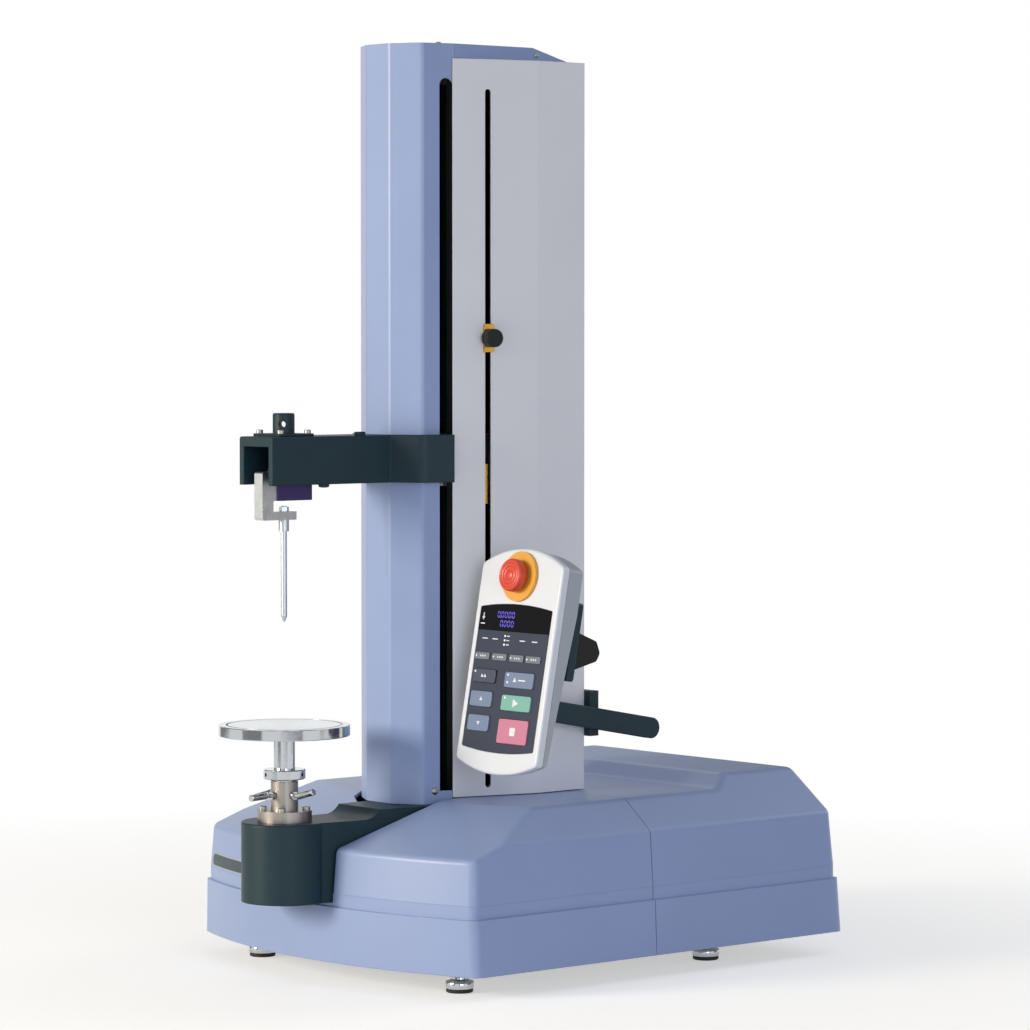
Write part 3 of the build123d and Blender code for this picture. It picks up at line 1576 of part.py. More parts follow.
os.makedirs("parts", exist_ok=True)
shell = cover_shell()
pieces = {
    "base_plate": make_base_plate(),
    "front_tray": make_front_tray(),
    "rear_tray": make_rear_tray(),
    "front_cover_left": make_front_cover(shell, -1),
    "front_cover_right": make_front_cover(shell, 1),
    "rear_cover": make_rear_cover(shell),
    "table_casting": make_table_casting(),
    "column_frame": make_column_frame(),
    "column_front_cover": make_column_front_cover(),
    "column_rear_cover": make_column_rear_cover(),
    "side_cover_left": make_side_cover(-1),
    "side_cover_right": make_side_cover(1),
    "slot_liners": make_slot_liners(),
    "guide_rails": make_guide_rails(),
    "screw_bearings": make_screw_bearings(),
    "ball_screw": make_ball_screw(),
    "drive_motor": make_drive_motor(),
    "motor_pulley": make_motor_pulley(),
    "timing_belt": make_timing_belt(),
    "electronics": make_electronics(),
    "connector_panel": make_connector_panel(),
    "power_inlet": make_power_inlet(),
    "power_switch": make_power_switch(),
    "limit_rod": make_limit_rod(),
    "machine_screws": make_machine_screws(),
    "upper_stop": make_stop(upper_stop_z),
    "upper_stop_knob": make_stop_knob(upper_stop_z),
    "lower_stop": make_stop(lower_stop_z),
    "lower_stop_knob": make_stop_knob(lower_stop_z),
    "foot_front_left": make_foot(-foot_x, foot_front_y),
    "foot_front_right": make_foot(foot_x, foot_front_y),
    "foot_rear_left": make_foot(-foot_x, foot_rear_y),
    "foot_rear_right": make_foot(foot_x, foot_rear_y),
    "jig_flange": make_jig_flange(),
    "platen": make_platen(),
    "lock_ring": make_lock_ring(),
    "clamp_lever_left": make_clamp_lever(180, -90),
    "clamp_lever_front": make_clamp_lever(270, 0),
    "clamp_lever_right": make_clamp_lever(0, 90),
    "crosshead_arm": make_crosshead_arm(),
    "carriage": make_carriage(),
    "trip_finger": make_trip_finger(),
    "joint_plate": make_joint_plate(),
    "load_cell": make_load_cell(),
    "cell_bracket": make_cell_bracket(),
    "probe_rod": make_probe_rod(),
    "holder_block": make_holder_block(),
    "holder_arm": make_holder_arm(),
    "hanger_hook": make_hanger_hook(),
    "handset_back": make_handset_back(),
    "handset_bezel": make_handset_bezel(),
    "key_panel": make_key_panel(),
    "estop_collar": make_estop_collar(),
    "estop_head": make_estop_head(),
}
for name in keys:
    pieces["key_" + name] = make_key(name)

for name, piece in pieces.items():
    piece.label = name
    export_step(piece, "parts/" + name + ".step")
print(len(pieces), "pieces")
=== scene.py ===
# %% [markdown]
# # A table-top universal testing machine
# The real machine stands on a laboratory bench. A crosshead climbs one column, and the
# force that it needs to push or pull a specimen is read by a load cell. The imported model
# gives every solid its place in metres, so each piece here goes where that frame says.

# %% Load the frame and keep its box
import bpy
import bmesh
import json
from math import cos, pi, radians, sin, sqrt
from mathutils import Matrix, Vector


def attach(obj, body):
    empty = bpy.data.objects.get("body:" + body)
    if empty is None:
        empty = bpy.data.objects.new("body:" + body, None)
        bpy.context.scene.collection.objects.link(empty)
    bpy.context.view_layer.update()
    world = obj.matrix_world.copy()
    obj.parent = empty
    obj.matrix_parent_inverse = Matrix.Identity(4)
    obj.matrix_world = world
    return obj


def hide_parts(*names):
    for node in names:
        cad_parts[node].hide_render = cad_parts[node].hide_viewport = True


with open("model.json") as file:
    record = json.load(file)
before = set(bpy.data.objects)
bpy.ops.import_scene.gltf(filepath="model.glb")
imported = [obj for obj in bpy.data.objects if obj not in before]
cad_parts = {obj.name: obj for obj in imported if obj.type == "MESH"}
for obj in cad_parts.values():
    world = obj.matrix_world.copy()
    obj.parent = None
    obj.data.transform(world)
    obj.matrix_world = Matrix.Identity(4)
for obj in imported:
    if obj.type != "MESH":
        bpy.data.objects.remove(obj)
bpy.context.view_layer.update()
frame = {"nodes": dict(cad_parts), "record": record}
nodes = frame["nodes"]

# %% [markdown]
# ## Camera
# The machine is seen from its right front corner, a little from above, through a long
# lens. The numbers come from fitting the model's edges to the photograph.

# %% Set the camera
azimuth = 49.2
elevation = 2.55
camera_data = bpy.data.cameras.new("studio_camera")
camera_data.sensor_width = 36.0
camera_data.lens = 148.47
camera = bpy.data.objects.new("studio_camera", camera_data)
camera.location = (3.0623, -2.5963, 0.6003)
camera.rotation_euler = (radians(90 - elevation), 0, radians(azimuth))
bpy.context.scene.collection.objects.link(camera)
bpy.context.scene.camera = camera
bpy.context.scene.view_settings.view_transform = "Standard"
print("lens", camera_data.lens, "mm")

# %% [markdown]
# ## Colours and nodes
# Colours are picked as sRGB hex values, as a paint chart gives them. Cycles works in
# linear light, so one function turns them over. One small function adds a node, sets it
# and links it, and every material below is built with it.

# %% Helpers for colour and nodes
def linear(code):
    """Linear RGBA of an sRGB hex colour."""
    parts = [int(code[i:i + 2], 16) / 255 for i in (1, 3, 5)]
    parts = [c / 12.92 if c <= 0.04045 else ((c + 0.055) / 1.055) ** 2.4 for c in parts]
    return (*parts, 1.0)


def add_node(tree, kind, links=(), values=(), **settings):
    """New node: settings are its attributes, values fill sockets, links come from other sockets."""
    node = tree.nodes.new(kind)
    for key, value in settings.items():
        setattr(node, key, value)
    for key, value in values:
        node.inputs[key].default_value = value
    for key, socket in links:
        tree.links.new(socket, node.inputs[key])
    return node


def start_material(name, **shader):
    """New material with one Principled shader, whose sockets get the given values."""
    material = bpy.data.materials.new(name)
    material.use_nodes = True
    tree = material.node_tree
    surface = tree.nodes["Principled BSDF"]
    for key, value in shader.items():
        surface.inputs[key.replace("_", " ")].default_value = value
    return material, tree, surface


def place_coordinates(tree):
    """Object coordinates, which are metres in the model's frame."""
    return add_node(tree, "ShaderNodeTexCoord").outputs["Object"]


def ramp(tree, factor, stops):
    """Colour ramp with (place, colour) stops."""
    node = add_node(tree, "ShaderNodeValToRGB", links=[("Fac", factor)])
    elements = node.color_ramp.elements
    while len(elements) < len(stops):
        elements.new(0.5)
    for element, (place, colour) in zip(elements, stops):
        element.position = place
        element.color = colour
    return node.outputs["Color"]


print("white is", linear("#ffffff"))

# %% [markdown]
# ## Painted sheet steel
# The covers are folded sheet steel with a baked powder coat. Powder melts into a skin
# with a faint orange peel, a few tenths of a millimetre high, about 1.5 mm from bump to
# bump. That gives a soft, broad sheen with no sharp mirror image. The colour varies by a
# percent or two. A pale rim where the coat is thin at a bend comes from a bevel node
# that rounds the shading of each edge.

# %% Powder-coat materials
def powder_coat(name, colour, shade, bump_mm=1.5, roughness=0.42, strength=0.10,
                edge_mm=0.8, shine=0.5):
    """Paint with an orange-peel bump, a slow drift in colour and rounded edges."""
    material, tree, surface = start_material(name, Roughness=roughness, IOR=1.5, Specular_IOR_Level=shine)
    where = place_coordinates(tree)
    drift = add_node(tree, "ShaderNodeTexNoise", links=[("Vector", where)],
                     values=[("Scale", 9.0), ("Detail", 3.0)])
    tone = ramp(tree, drift.outputs["Fac"], [(0.3, linear(shade)), (0.7, linear(colour))])
    tree.links.new(tone, surface.inputs["Base Color"])
    peel = add_node(tree, "ShaderNodeTexNoise", links=[("Vector", where)],
                    values=[("Scale", 1000.0 / bump_mm), ("Detail", 2.0)])
    gloss = add_node(tree, "ShaderNodeMapRange", links=[("Value", peel.outputs["Fac"])],
                     values=[("To Min", roughness - 0.05), ("To Max", roughness + 0.07)])
    tree.links.new(gloss.outputs["Result"], surface.inputs["Roughness"])
    edge = add_node(tree, "ShaderNodeBevel", samples=4, values=[("Radius", edge_mm / 1000)])
    skin = add_node(tree, "ShaderNodeBump", values=[("Strength", strength), ("Distance", 0.0003)],
                    links=[("Height", peel.outputs["Fac"]), ("Normal", edge.outputs["Normal"])])
    tree.links.new(skin.outputs["Normal"], surface.inputs["Normal"])
    return material


blue_coat = powder_coat("powder_coated_steel_blue", "#93a6d2", "#8fa2ce", roughness=0.36)
grey_coat = powder_coat("powder_coated_steel_light_grey", "#eaecf2", "#e6e8ef")
green_coat = powder_coat("powder_coated_cast_iron_dark_green", "#17323c", "#142d36",
                         bump_mm=2.2, roughness=0.44, strength=0.2, edge_mm=2.2, shine=0.3)
black_coat = powder_coat("powder_coated_steel_black", "#1b2226", "#171d21", bump_mm=1.2, roughness=0.5)
print("paints", blue_coat.name, grey_coat.name, green_coat.name, black_coat.name)

# %% [markdown]
# ## Bare and plated metals
# The platen, ring and levers are turned steel with bright chrome. The table post and its
# flange are turned steel with satin nickel, a little warm. Turning leaves fine rings
# about 0.2 mm apart. They are too fine to show at this size, so they are drawn every
# 0.9 mm or more. Their bump stretches each highlight into a fan, as on the real parts.
# The slim probe and the blackened drive are ground, which leaves no mark that the eye can
# see, so their gloss only drifts a little over some millimetres.

# %% Metal materials
load_axis = (0.0, -0.231)
# Metres from ring to ring of a wave texture at scale 1.
wave_unit = 0.314


def ground_metal(name, colour, roughness, rough_range):
    """Metal without tool marks, whose gloss drifts a little."""
    material, tree, surface = start_material(name, Metallic=1.0, Roughness=roughness)
    surface.inputs["Base Color"].default_value = linear(colour)
    smear = add_node(tree, "ShaderNodeTexNoise", links=[("Vector", place_coordinates(tree))],
                     values=[("Scale", 260.0), ("Detail", 4.0)])
    gloss = add_node(tree, "ShaderNodeMapRange", links=[("Value", smear.outputs["Fac"])],
                     values=[("From Min", 0.3), ("From Max", 0.7),
                             ("To Min", max(roughness - rough_range, 0.02)),
                             ("To Max", roughness + rough_range)])
    tree.links.new(gloss.outputs["Result"], surface.inputs["Roughness"])
    return material


def turned_metal(name, colour, roughness, ring_mm, depth, centre=load_axis, rough_range=0.06):
    """Ground metal that also has rings round an upright axis at centre, and soft edges."""
    material = ground_metal(name, colour, roughness, rough_range)
    tree = material.node_tree
    where = place_coordinates(tree)
    moved = add_node(tree, "ShaderNodeMapping", links=[("Vector", where)],
                     values=[("Location", (-centre[0], -centre[1], 0.0))])
    rings = add_node(tree, "ShaderNodeTexWave", links=[("Vector", moved.outputs["Vector"])],
                     wave_type="RINGS", rings_direction="Z", wave_profile="SIN",
                     values=[("Scale", wave_unit / ring_mm * 1000), ("Distortion", 0.4), ("Detail", 1.0)])
    edge = add_node(tree, "ShaderNodeBevel", samples=4, values=[("Radius", 0.0003)])
    bump = add_node(tree, "ShaderNodeBump", values=[("Strength", depth), ("Distance", 0.0001)],
                    links=[("Height", rings.outputs["Fac"]), ("Normal", edge.outputs["Normal"])])
    surface = tree.nodes["Principled BSDF"]
    tree.links.new(bump.outputs["Normal"], surface.inputs["Normal"])
    return material


chrome = turned_metal("bright_chromed_turned_steel", "#c3c7ca", 0.1, 1.2, 0.2, rough_range=0.02)
nickel = turned_metal("satin_nickel_turned_steel", "#a29c96", 0.36, 0.9, 0.2, rough_range=0.03)
ground_steel = ground_metal("ground_stainless_steel", "#c4c7cb", 0.34, 0.03)
aluminium = turned_metal("milled_aluminium", "#c9cbcc", 0.34, 1.4, 0.12, centre=(-0.02, -0.28))
zinc_steel = turned_metal("zinc_plated_steel", "#a9aaa4", 0.38, 1.6, 0.12)
black_oxide = ground_metal("black_oxide_steel", "#232829", 0.4, 0.04)
brass = turned_metal("turned_brass", "#c79a45", 0.28, 1.0, 0.2, centre=(0.07, -0.04))
violet_anodised = turned_metal("violet_anodised_aluminium", "#4d4270", 0.4, 1.2, 0.1)
print("metals", chrome.name, nickel.name)

# %% [markdown]
# ## Moulded plastics, film and rubber
# The handset is moulded ABS with a fine spark-eroded grain. Its keypad is a printed
# polyester film with a satin face, and the keys are pressed plastic caps under it. The
# foot pads are plain black rubber, which has a broad, dull sheen.

# %% Plastic and rubber materials
def moulded(name, colour, roughness, grain_mm=0.8, strength=0.12, edge_mm=0.5, **more):
    """Plastic with a fine moulded grain."""
    material, tree, surface = start_material(name, Roughness=roughness, IOR=1.53, **more)
    surface.inputs["Base Color"].default_value = linear(colour)
    where = place_coordinates(tree)
    grain = add_node(tree, "ShaderNodeTexNoise", links=[("Vector", where)],
                     values=[("Scale", 1000.0 / grain_mm), ("Detail", 3.0)])
    gloss = add_node(tree, "ShaderNodeMapRange", links=[("Value", grain.outputs["Fac"])],
                     values=[("From Min", 0.3), ("From Max", 0.7),
                             ("To Min", roughness - 0.05), ("To Max", roughness + 0.05)])
    tree.links.new(gloss.outputs["Result"], surface.inputs["Roughness"])
    bump = add_node(tree, "ShaderNodeBump", links=[("Height", grain.outputs["Fac"])],
                    values=[("Strength", strength), ("Distance", 0.0001)])
    if edge_mm:
        edge = add_node(tree, "ShaderNodeBevel", samples=4, values=[("Radius", edge_mm / 1000)])
        tree.links.new(edge.outputs["Normal"], bump.inputs["Normal"])
    tree.links.new(bump.outputs["Normal"], surface.inputs["Normal"])
    return material


white_abs = moulded("moulded_abs_white", "#dde3ee", 0.34)
grey_abs = moulded("moulded_abs_grey", "#a9b0b8", 0.42)
black_abs = moulded("moulded_abs_black", "#101416", 0.5, Specular_IOR_Level=0.25)
yellow_abs = moulded("moulded_abs_yellow", "#e3a63c", 0.36)
red_abs = moulded("moulded_abs_red", "#d5452f", 0.32)
panel_film = moulded("printed_polyester_film", "#2b3449", 0.42, grain_mm=0.5, strength=0.06, edge_mm=0.2,
                     Specular_IOR_Level=0.3)
dark_key = moulded("key_cap_dark", "#353e54", 0.36, edge_mm=0.4)
grey_key = moulded("key_cap_blue_grey", "#7081a2", 0.36, edge_mm=0.4)
green_key = moulded("key_cap_green", "#78b3a8", 0.36, edge_mm=0.4)
red_key = moulded("key_cap_pink", "#c77b99", 0.36, edge_mm=0.4)
slot_black = moulded("moulded_nylon_black", "#0b0e10", 0.6, strength=0.02, edge_mm=0)
rubber = moulded("moulded_rubber_black", "#1d1e1e", 0.72, grain_mm=0.6)
board = moulded("glass_fibre_board_green", "#1f5a3c", 0.4, grain_mm=0.4)
print("plastics", white_abs.name, panel_film.name)

# %% [markdown]
# ## Give every solid its finish
# Each CAD solid keeps its shape and gets the finish of the real part. The record's slots
# say which solid is painted, plated or moulded, and the first table follows them. The
# second is for solids that differ: the joint is painted with the arm, and the drive behind
# the slots is blackened, so that the slots look dark.

# %% Finish the solids
finishes = {
    "green_paint": green_coat, "blue_paint": blue_coat, "grey_paint": grey_coat,
    "black_paint": black_coat, "zinc_steel": zinc_steel, "ground_steel": ground_steel,
    "nickel_steel": nickel, "chrome": chrome, "aluminium": aluminium,
    "violet_anodised": violet_anodised, "brass": brass, "black_screw": black_oxide,
    "black_plastic": black_abs, "grey_plastic": grey_abs, "white_plastic": white_abs,
    "board_plastic": board, "panel_film": panel_film, "yellow_plastic": yellow_abs,
    "red_plastic": red_abs, "dark_key": dark_key, "grey_key": grey_key,
    "green_key": green_key, "red_key": red_key, "belt_rubber": rubber, "foot_rubber": rubber,
}
unknown = set()
for name, node in nodes.items():
    for slot in node.material_slots:
        slot_name = slot.material.name.split(".")[0] if slot.material else ""
        if slot_name in finishes:
            slot.material = finishes[slot_name]
        else:
            unknown.add((name, slot_name))
own_finishes = {"slot_liners": slot_black, "ball_screw": black_oxide, "guide_rails": black_oxide,
                "limit_rod": black_oxide, "joint_plate": green_coat}
for name, finish in own_finishes.items():
    nodes[name].material_slots[0].material = finish
print("finished", len(nodes), "solids, unknown slots:", sorted(unknown))

# %% [markdown]
# ## Pieces that turn
# Screws, feet and the emergency button are turned or moulded round an axis, so each is a
# profile spun round that axis, as on a lathe. A profile point is a radius and a height in
# millimetres. A point marked hex bends its ring to a hexagon, for a socket.

# %% Helpers for pieces
def mm(*values):
    return Vector([value / 1000 for value in values])


def upright(x, y, z):
    """Place with its axis straight up."""
    return Matrix.Translation(mm(x, y, z))


def facing(origin, across, outward):
    """Place whose X runs along across and whose Z points along outward."""
    z_axis = Vector(outward).normalized()
    x_axis = Vector(across).normalized()
    y_axis = z_axis.cross(x_axis)
    turn = Matrix((x_axis, y_axis, z_axis)).transposed().to_4x4()
    return Matrix.Translation(mm(*origin)) @ turn


def ring_radius(radius, angle, shape):
    """Radius at an angle: round, or along the sides of a hexagon."""
    if shape != "hex":
        return radius
    return radius * cos(pi / 6) / cos(angle % (pi / 3) - pi / 6)


def spin(mesh, profile, place, steps=36):
    """Adds a turned body to the mesh, from points (radius, height[, shape])."""
    rings = []
    for radius, height, *shape in profile:
        if radius == 0:
            rings.append([mesh.verts.new(place @ mm(0, 0, height))])
            continue
        ring = []
        for k in range(steps):
            angle = 2 * pi * k / steps
            reach = ring_radius(radius, angle, shape[0] if shape else "round")
            ring.append(mesh.verts.new(place @ mm(reach * cos(angle), reach * sin(angle), height)))
        rings.append(ring)
    for low, high in zip(rings, rings[1:]):
        for k in range(steps):
            after = (k + 1) % steps
            if len(low) == 1:
                mesh.faces.new((low[0], high[k], high[after]))
            elif len(high) == 1:
                mesh.faces.new((low[k], low[after], high[0]))
            else:
                mesh.faces.new((low[k], low[after], high[after], high[k]))


def slab(mesh, outline, place, low, high):
    """Adds a flat plate with the outline's points, from height low to high."""
    bottom = [mesh.verts.new(place @ mm(x, y, low)) for x, y in outline]
    top = [mesh.verts.new(place @ mm(x, y, high)) for x, y in outline]
    mesh.faces.new(bottom)
    mesh.faces.new(top)
    for k in range(len(outline)):
        after = (k + 1) % len(outline)
        mesh.faces.new((bottom[k], bottom[after], top[after], top[k]))


def rounded(width, height, radius, x=0.0, y=0.0, steps=5):
    """Points of a rectangle with round corners about (x, y)."""
    points = []
    for quarter, (sx, sy) in enumerate(((1, 1), (-1, 1), (-1, -1), (1, -1))):
        for k in range(steps + 1):
            angle = pi / 2 * (quarter + k / steps)
            points.append((x + sx * (width / 2 - radius) + radius * cos(angle),
                           y + sy * (height / 2 - radius) + radius * sin(angle)))
    return points


def piece(name, mesh, material, body, smooth_degrees=32, bevel_mm=0.0):
    """Makes an object of the mesh, with its finish, and lets it ride on its body."""
    bmesh.ops.recalc_face_normals(mesh, faces=mesh.faces)
    data = bpy.data.meshes.new(name)
    mesh.to_mesh(data)
    mesh.free()
    for polygon in data.polygons:
        polygon.use_smooth = True
    data.set_sharp_from_angle(angle=radians(smooth_degrees))
    obj = bpy.data.objects.new(name, data)
    bpy.context.scene.collection.objects.link(obj)
    data.materials.append(material)
    if bevel_mm:
        edge = obj.modifiers.new("soft_edges", "BEVEL")
        edge.width = bevel_mm / 1000
        edge.segments = 2
        edge.limit_method = "ANGLE"
    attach(obj, body)
    return obj


print("helpers ready")

# %% [markdown]
# ## Levelling feet
# Each foot is a chromed disc on a threaded stud, with a lock nut under the base and a
# rubber pad below. The pad and the metal are two pieces, as on the real foot.

# %% Build the feet
foot_x = 146
front_foot_y = -145
rear_foot_y = 160
foot_places = {
    "foot_front_left": (-foot_x, front_foot_y), "foot_front_right": (foot_x, front_foot_y),
    "foot_rear_left": (-foot_x, rear_foot_y), "foot_rear_right": (foot_x, rear_foot_y),
}
body_of_node = {}
for body, members in frame["record"]["behaviour"]["bodies"].items():
    for member in members:
        body_of_node[member] = body
foot_metal = [(0, 3.2), (11.4, 3.2), (12.6, 3.8), (13, 4.8), (13, 9.4), (12.4, 10.4), (9.6, 11),
              (7.2, 12.2), (7.0, 14), (8.6, 14, "hex"), (9.0, 14.5, "hex"), (9.0, 18.6, "hex"),
              (8.6, 19, "hex"), (5, 19), (5, 33.4), (4.5, 34), (0, 34)]
foot_pad = [(0, 0), (11.2, 0), (12.1, 0.6), (12.3, 1.6), (12.3, 2.8), (11.8, 3.4), (0, 3.4)]
for node, (x, y) in foot_places.items():
    body = body_of_node[node]
    mesh = bmesh.new()
    spin(mesh, foot_metal, upright(x, y, 0), 48)
    metal = piece(node + "_metal", mesh, chrome, body)
    mesh = bmesh.new()
    spin(mesh, foot_pad, upright(x, y, 0), 48)
    piece(node + "_pad", mesh, rubber, body)
    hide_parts(node)
print("feet", len(foot_places))

# %% [markdown]
# ## Screws
# Small fasteners are added here: socket-head screws on the flange and the joint plate,
# and domed screws that hold the column's covers.

# %% Build the screws
def socket_head(radius, height, socket, depth):
    """Profile of a cylinder head with a hexagon socket, its foot at height 0."""
    shank = radius * 0.55
    chamfer = 0.4
    return [(0, -2), (shank, -2), (shank, 0), (radius, 0), (radius, height - chamfer),
            (radius - chamfer, height), (socket, height, "hex"), (socket, height - depth, "hex"),
            (0, height - depth)]


def dome_head(radius, height, socket, depth):
    """Profile of a domed head with a hexagon socket."""
    crown = [(radius * cos(a), height * sin(a)) for a in (0.0, 0.35, 0.7, 1.05)]
    socket_points = [(socket, height * 0.98, "hex"), (socket, height - depth, "hex"), (0, height - depth)]
    return [(0, -1), (radius, -1)] + crown + socket_points


corners = [(sx, sy) for sx in (-1, 1) for sy in (-1, 1)]
axis_y = load_axis[1] * 1000
bolt_reach = 20.0 * cos(pi / 4)
flange_top_z = 158.7
flange_head = socket_head(3.5, 3.5, 1.6, 2.0)
mesh = bmesh.new()
for sx, sy in corners:
    spin(mesh, flange_head, upright(sx * bolt_reach, axis_y + sy * bolt_reach, flange_top_z))
flange_screws = piece("flange_screws", mesh, zinc_steel, "machine")
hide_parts("machine_screws")

plate_screw_reach = 15.5
joint_plate_top_z = 502.6
plate_head = socket_head(3.0, 3.4, 1.5, 1.6)
mesh = bmesh.new()
for sx, sy in corners:
    place = upright(sx * plate_screw_reach, axis_y + sy * plate_screw_reach, joint_plate_top_z)
    spin(mesh, plate_head, place)
piece("joint_plate_screws", mesh, zinc_steel, "crosshead")

column_top_z = 860
up = (0, 0, 1)
mesh = bmesh.new()
for side in (-1, 1):
    low_front = facing((side * 48.7, -92.8, 170.1), up, (side * 0.964, -0.266, 0))
    spin(mesh, dome_head(3.6, 2.0, 1.4, 1.1), low_front)
    spin(mesh, dome_head(3.0, 1.4, 1.2, 0.8), upright(side * 46.2, -86.0, column_top_z))
    for height in (853.0, 175.0):
        rear = facing((side * 54.0, 27.0, height), up, (side, 0, 0))
        spin(mesh, dome_head(2.6, 1.4, 1.1, 0.8), rear)
piece("column_cover_screws", mesh, zinc_steel, "machine")
print("screws built")

# %% [markdown]
# ## Small bosses on the arm
# The arm is a casting. It keeps a small lug on top, near the column, and a round pad
# below, where its cable clamp screws on.

# %% Build the arm's lug and pad
arm_top_z = 500
arm_bottom_z = 457
lug_place = upright(18.5, -157, 0)
pad_place = upright(19.5, -200, 0)
pad_profile = [(0, arm_bottom_z), (5, arm_bottom_z), (5, 454.2), (4.2, 453.4), (2.4, 453), (0, 453)]
mesh = bmesh.new()
slab(mesh, rounded(7, 9, 1.5), lug_place, arm_top_z - 0.5, arm_top_z + 3.2)
spin(mesh, pad_profile, pad_place, 32)
piece("arm_lug_and_pad", mesh, green_coat, "crosshead")
print("lug and pad built")

# %% [markdown]
# ## Blank badge
# A shallow badge lies on the left front cover, low beside the casting. It follows the
# bowed wall, so each of its points is placed by its run along the bow and its height.

# %% Build the badge
badge_paint = powder_coat("enamelled_badge_slate", "#3a4d55", "#36484f",
                          bump_mm=1.0, roughness=0.4, strength=0.03)
bow_centre = (0.0, 308.0)
bow_radius = 520.0
wall_foot_z = 84.0
wall_inset_low = 3.0
wall_lean = 0.08
badge_radius = 516


def bow_point(degrees_left, z, out):
    """Point on the left front cover's bowed wall, out millimetres in front of it."""
    reach = bow_radius - wall_inset_low - wall_lean * (z - wall_foot_z) + out
    angle = radians(degrees_left)
    return mm(bow_centre[0] - reach * sin(angle), bow_centre[1] - reach * cos(angle), z)


def badge_plate(name, start, end, low, high, corner, out, material):
    """Plate on the bow between two bearings, with round corners, out millimetres thick."""
    mesh = bmesh.new()
    columns = []
    count = 40
    sunk = -0.3
    soft = 0.2
    for k in range(count + 1):
        bearing = start + (end - start) * k / count
        from_end = radians(min(bearing - start, end - bearing)) * badge_radius
        drop = corner - sqrt(max(corner ** 2 - (corner - min(from_end, corner)) ** 2, 0.0))
        rows = [(low + drop, sunk), (low + drop, out - soft), (low + drop + soft, out),
                (high - drop - soft, out), (high - drop, out - soft), (high - drop, sunk)]
        columns.append([mesh.verts.new(bow_point(bearing, z, depth)) for z, depth in rows])
    for near, far in zip(columns, columns[1:]):
        for k in range(len(near) - 1):
            mesh.faces.new((near[k], far[k], far[k + 1], near[k + 1]))
    mesh.faces.new(columns[0])
    mesh.faces.new(columns[-1])
    return piece(name, mesh, material, "machine")


badge_plate("badge_rim", 12.0, 20.9, 85.6, 98.4, 4.0, 0.5, grey_abs)
badge_plate("badge_face", 12.2, 20.7, 86.6, 97.4, 3.2, 0.7, badge_paint)
print("badge built")

# %% [markdown]
# ## Emergency button
# The red mushroom head is moulded with raised rings that a thumb can feel. It is spun
# round the axis of the handset's face, which leans back by 10.6 degrees.

# %% Build the emergency button
lean = radians(10.6)
face_origin = (139.7, -80.8, 293.6)


def on_face(x, up, height=0.0):
    """Place on the handset's face: X across, Y up the face, Z out of it."""
    y = face_origin[1] + up * sin(lean) - height * cos(lean)
    z = face_origin[2] + up * cos(lean) + height * sin(lean)
    return facing((face_origin[0] + x, y, z), (1, 0, 0), (0, -cos(lean), sin(lean)))


button_up = 79.5
rim = [(0, -7), (7, -7), (7, 5.3), (13.4, 5.3), (14.7, 6.0), (15, 7.2), (15, 12.6),
       (14.6, 13.9), (13.4, 14.8)]
grip_rings = [(12.2, 15), (11.6, 14.5), (11.0, 15), (8.8, 15), (8.2, 14.5), (7.6, 15),
              (5.2, 15), (4.6, 14.5), (4.0, 15), (0, 15)]
mesh = bmesh.new()
spin(mesh, rim + grip_rings, on_face(0, button_up), 72)
button = piece("emergency_button", mesh, red_abs, body_of_node["estop_head"],
               smooth_degrees=60)
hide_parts("estop_head")
print("emergency button built")

# %% [markdown]
# ## Display and legends
# Behind the film's top is a black window with violet vacuum-fluorescent digits. Both
# rows read zero at rest, so each digit lights the six outer of its seven bars. Legends are
# small printed arrows and marks, and each rides on its key.

# %% Materials of the display and the print
window_film, tree, surface = start_material("black_acrylic_window", Roughness=0.3, IOR=1.49,
                                            Specular_IOR_Level=0.08)
drift = add_node(tree, "ShaderNodeTexNoise", links=[("Vector", place_coordinates(tree))],
                 values=[("Scale", 40.0)])
tint = ramp(tree, drift.outputs["Fac"], [(0.3, linear("#06070b")), (0.7, linear("#0a0b12"))])
tree.links.new(tint, surface.inputs["Base Color"])
digit_glow, tree, surface = start_material("lit_violet_digit", Roughness=0.5, Emission_Strength=0.9)
drift = add_node(tree, "ShaderNodeTexNoise", links=[("Vector", place_coordinates(tree))],
                 values=[("Scale", 900.0)])
tint = ramp(tree, drift.outputs["Fac"], [(0.3, linear("#5546c8")), (0.7, linear("#7a6cf0"))])
tree.links.new(tint, surface.inputs["Emission Color"])
tree.links.new(tint, surface.inputs["Base Color"])
print_ink = moulded("screen_print_white", "#dfe4ee", 0.5, edge_mm=0.1)
grey_cap = moulded("key_cap_grey", "#6c7482", 0.38, edge_mm=0.3)
lamp_lens = moulded("lamp_lens_white", "#eef2f5", 0.25, edge_mm=0.1, Emission_Strength=0.25)
print("display materials ready")

# %% Build the display
face = on_face(0, 0)
window_low = 28.6
window_high = 49.8
window_half = 49.3
window_arch = 4.0
arch_steps = 24
arch = []
for k in range(arch_steps + 1):
    across = 1 - 2 * k / arch_steps
    arch.append((window_half * across, window_high + window_arch * (1 - across ** 2)))
mesh = bmesh.new()
slab(mesh, [(-window_half, window_low), (window_half, window_low)] + arch, face, -0.4, 0.05)
piece("display_window", mesh, window_film, "holder")

digit_high = 5.2
digit_wide = 2.9
digit_pitch = 5.0
bar_thick = digit_high * 0.11
bar_height = 0.12
flat_bar = (digit_wide - bar_thick * 1.3, bar_thick)
tall_bar = (bar_thick, digit_high / 2 - bar_thick * 1.3)
zero_bars = [(0, 1, flat_bar), (1, 0.5, tall_bar), (1, -0.5, tall_bar),
             (0, -1, flat_bar), (-1, -0.5, tall_bar), (-1, 0.5, tall_bar)]


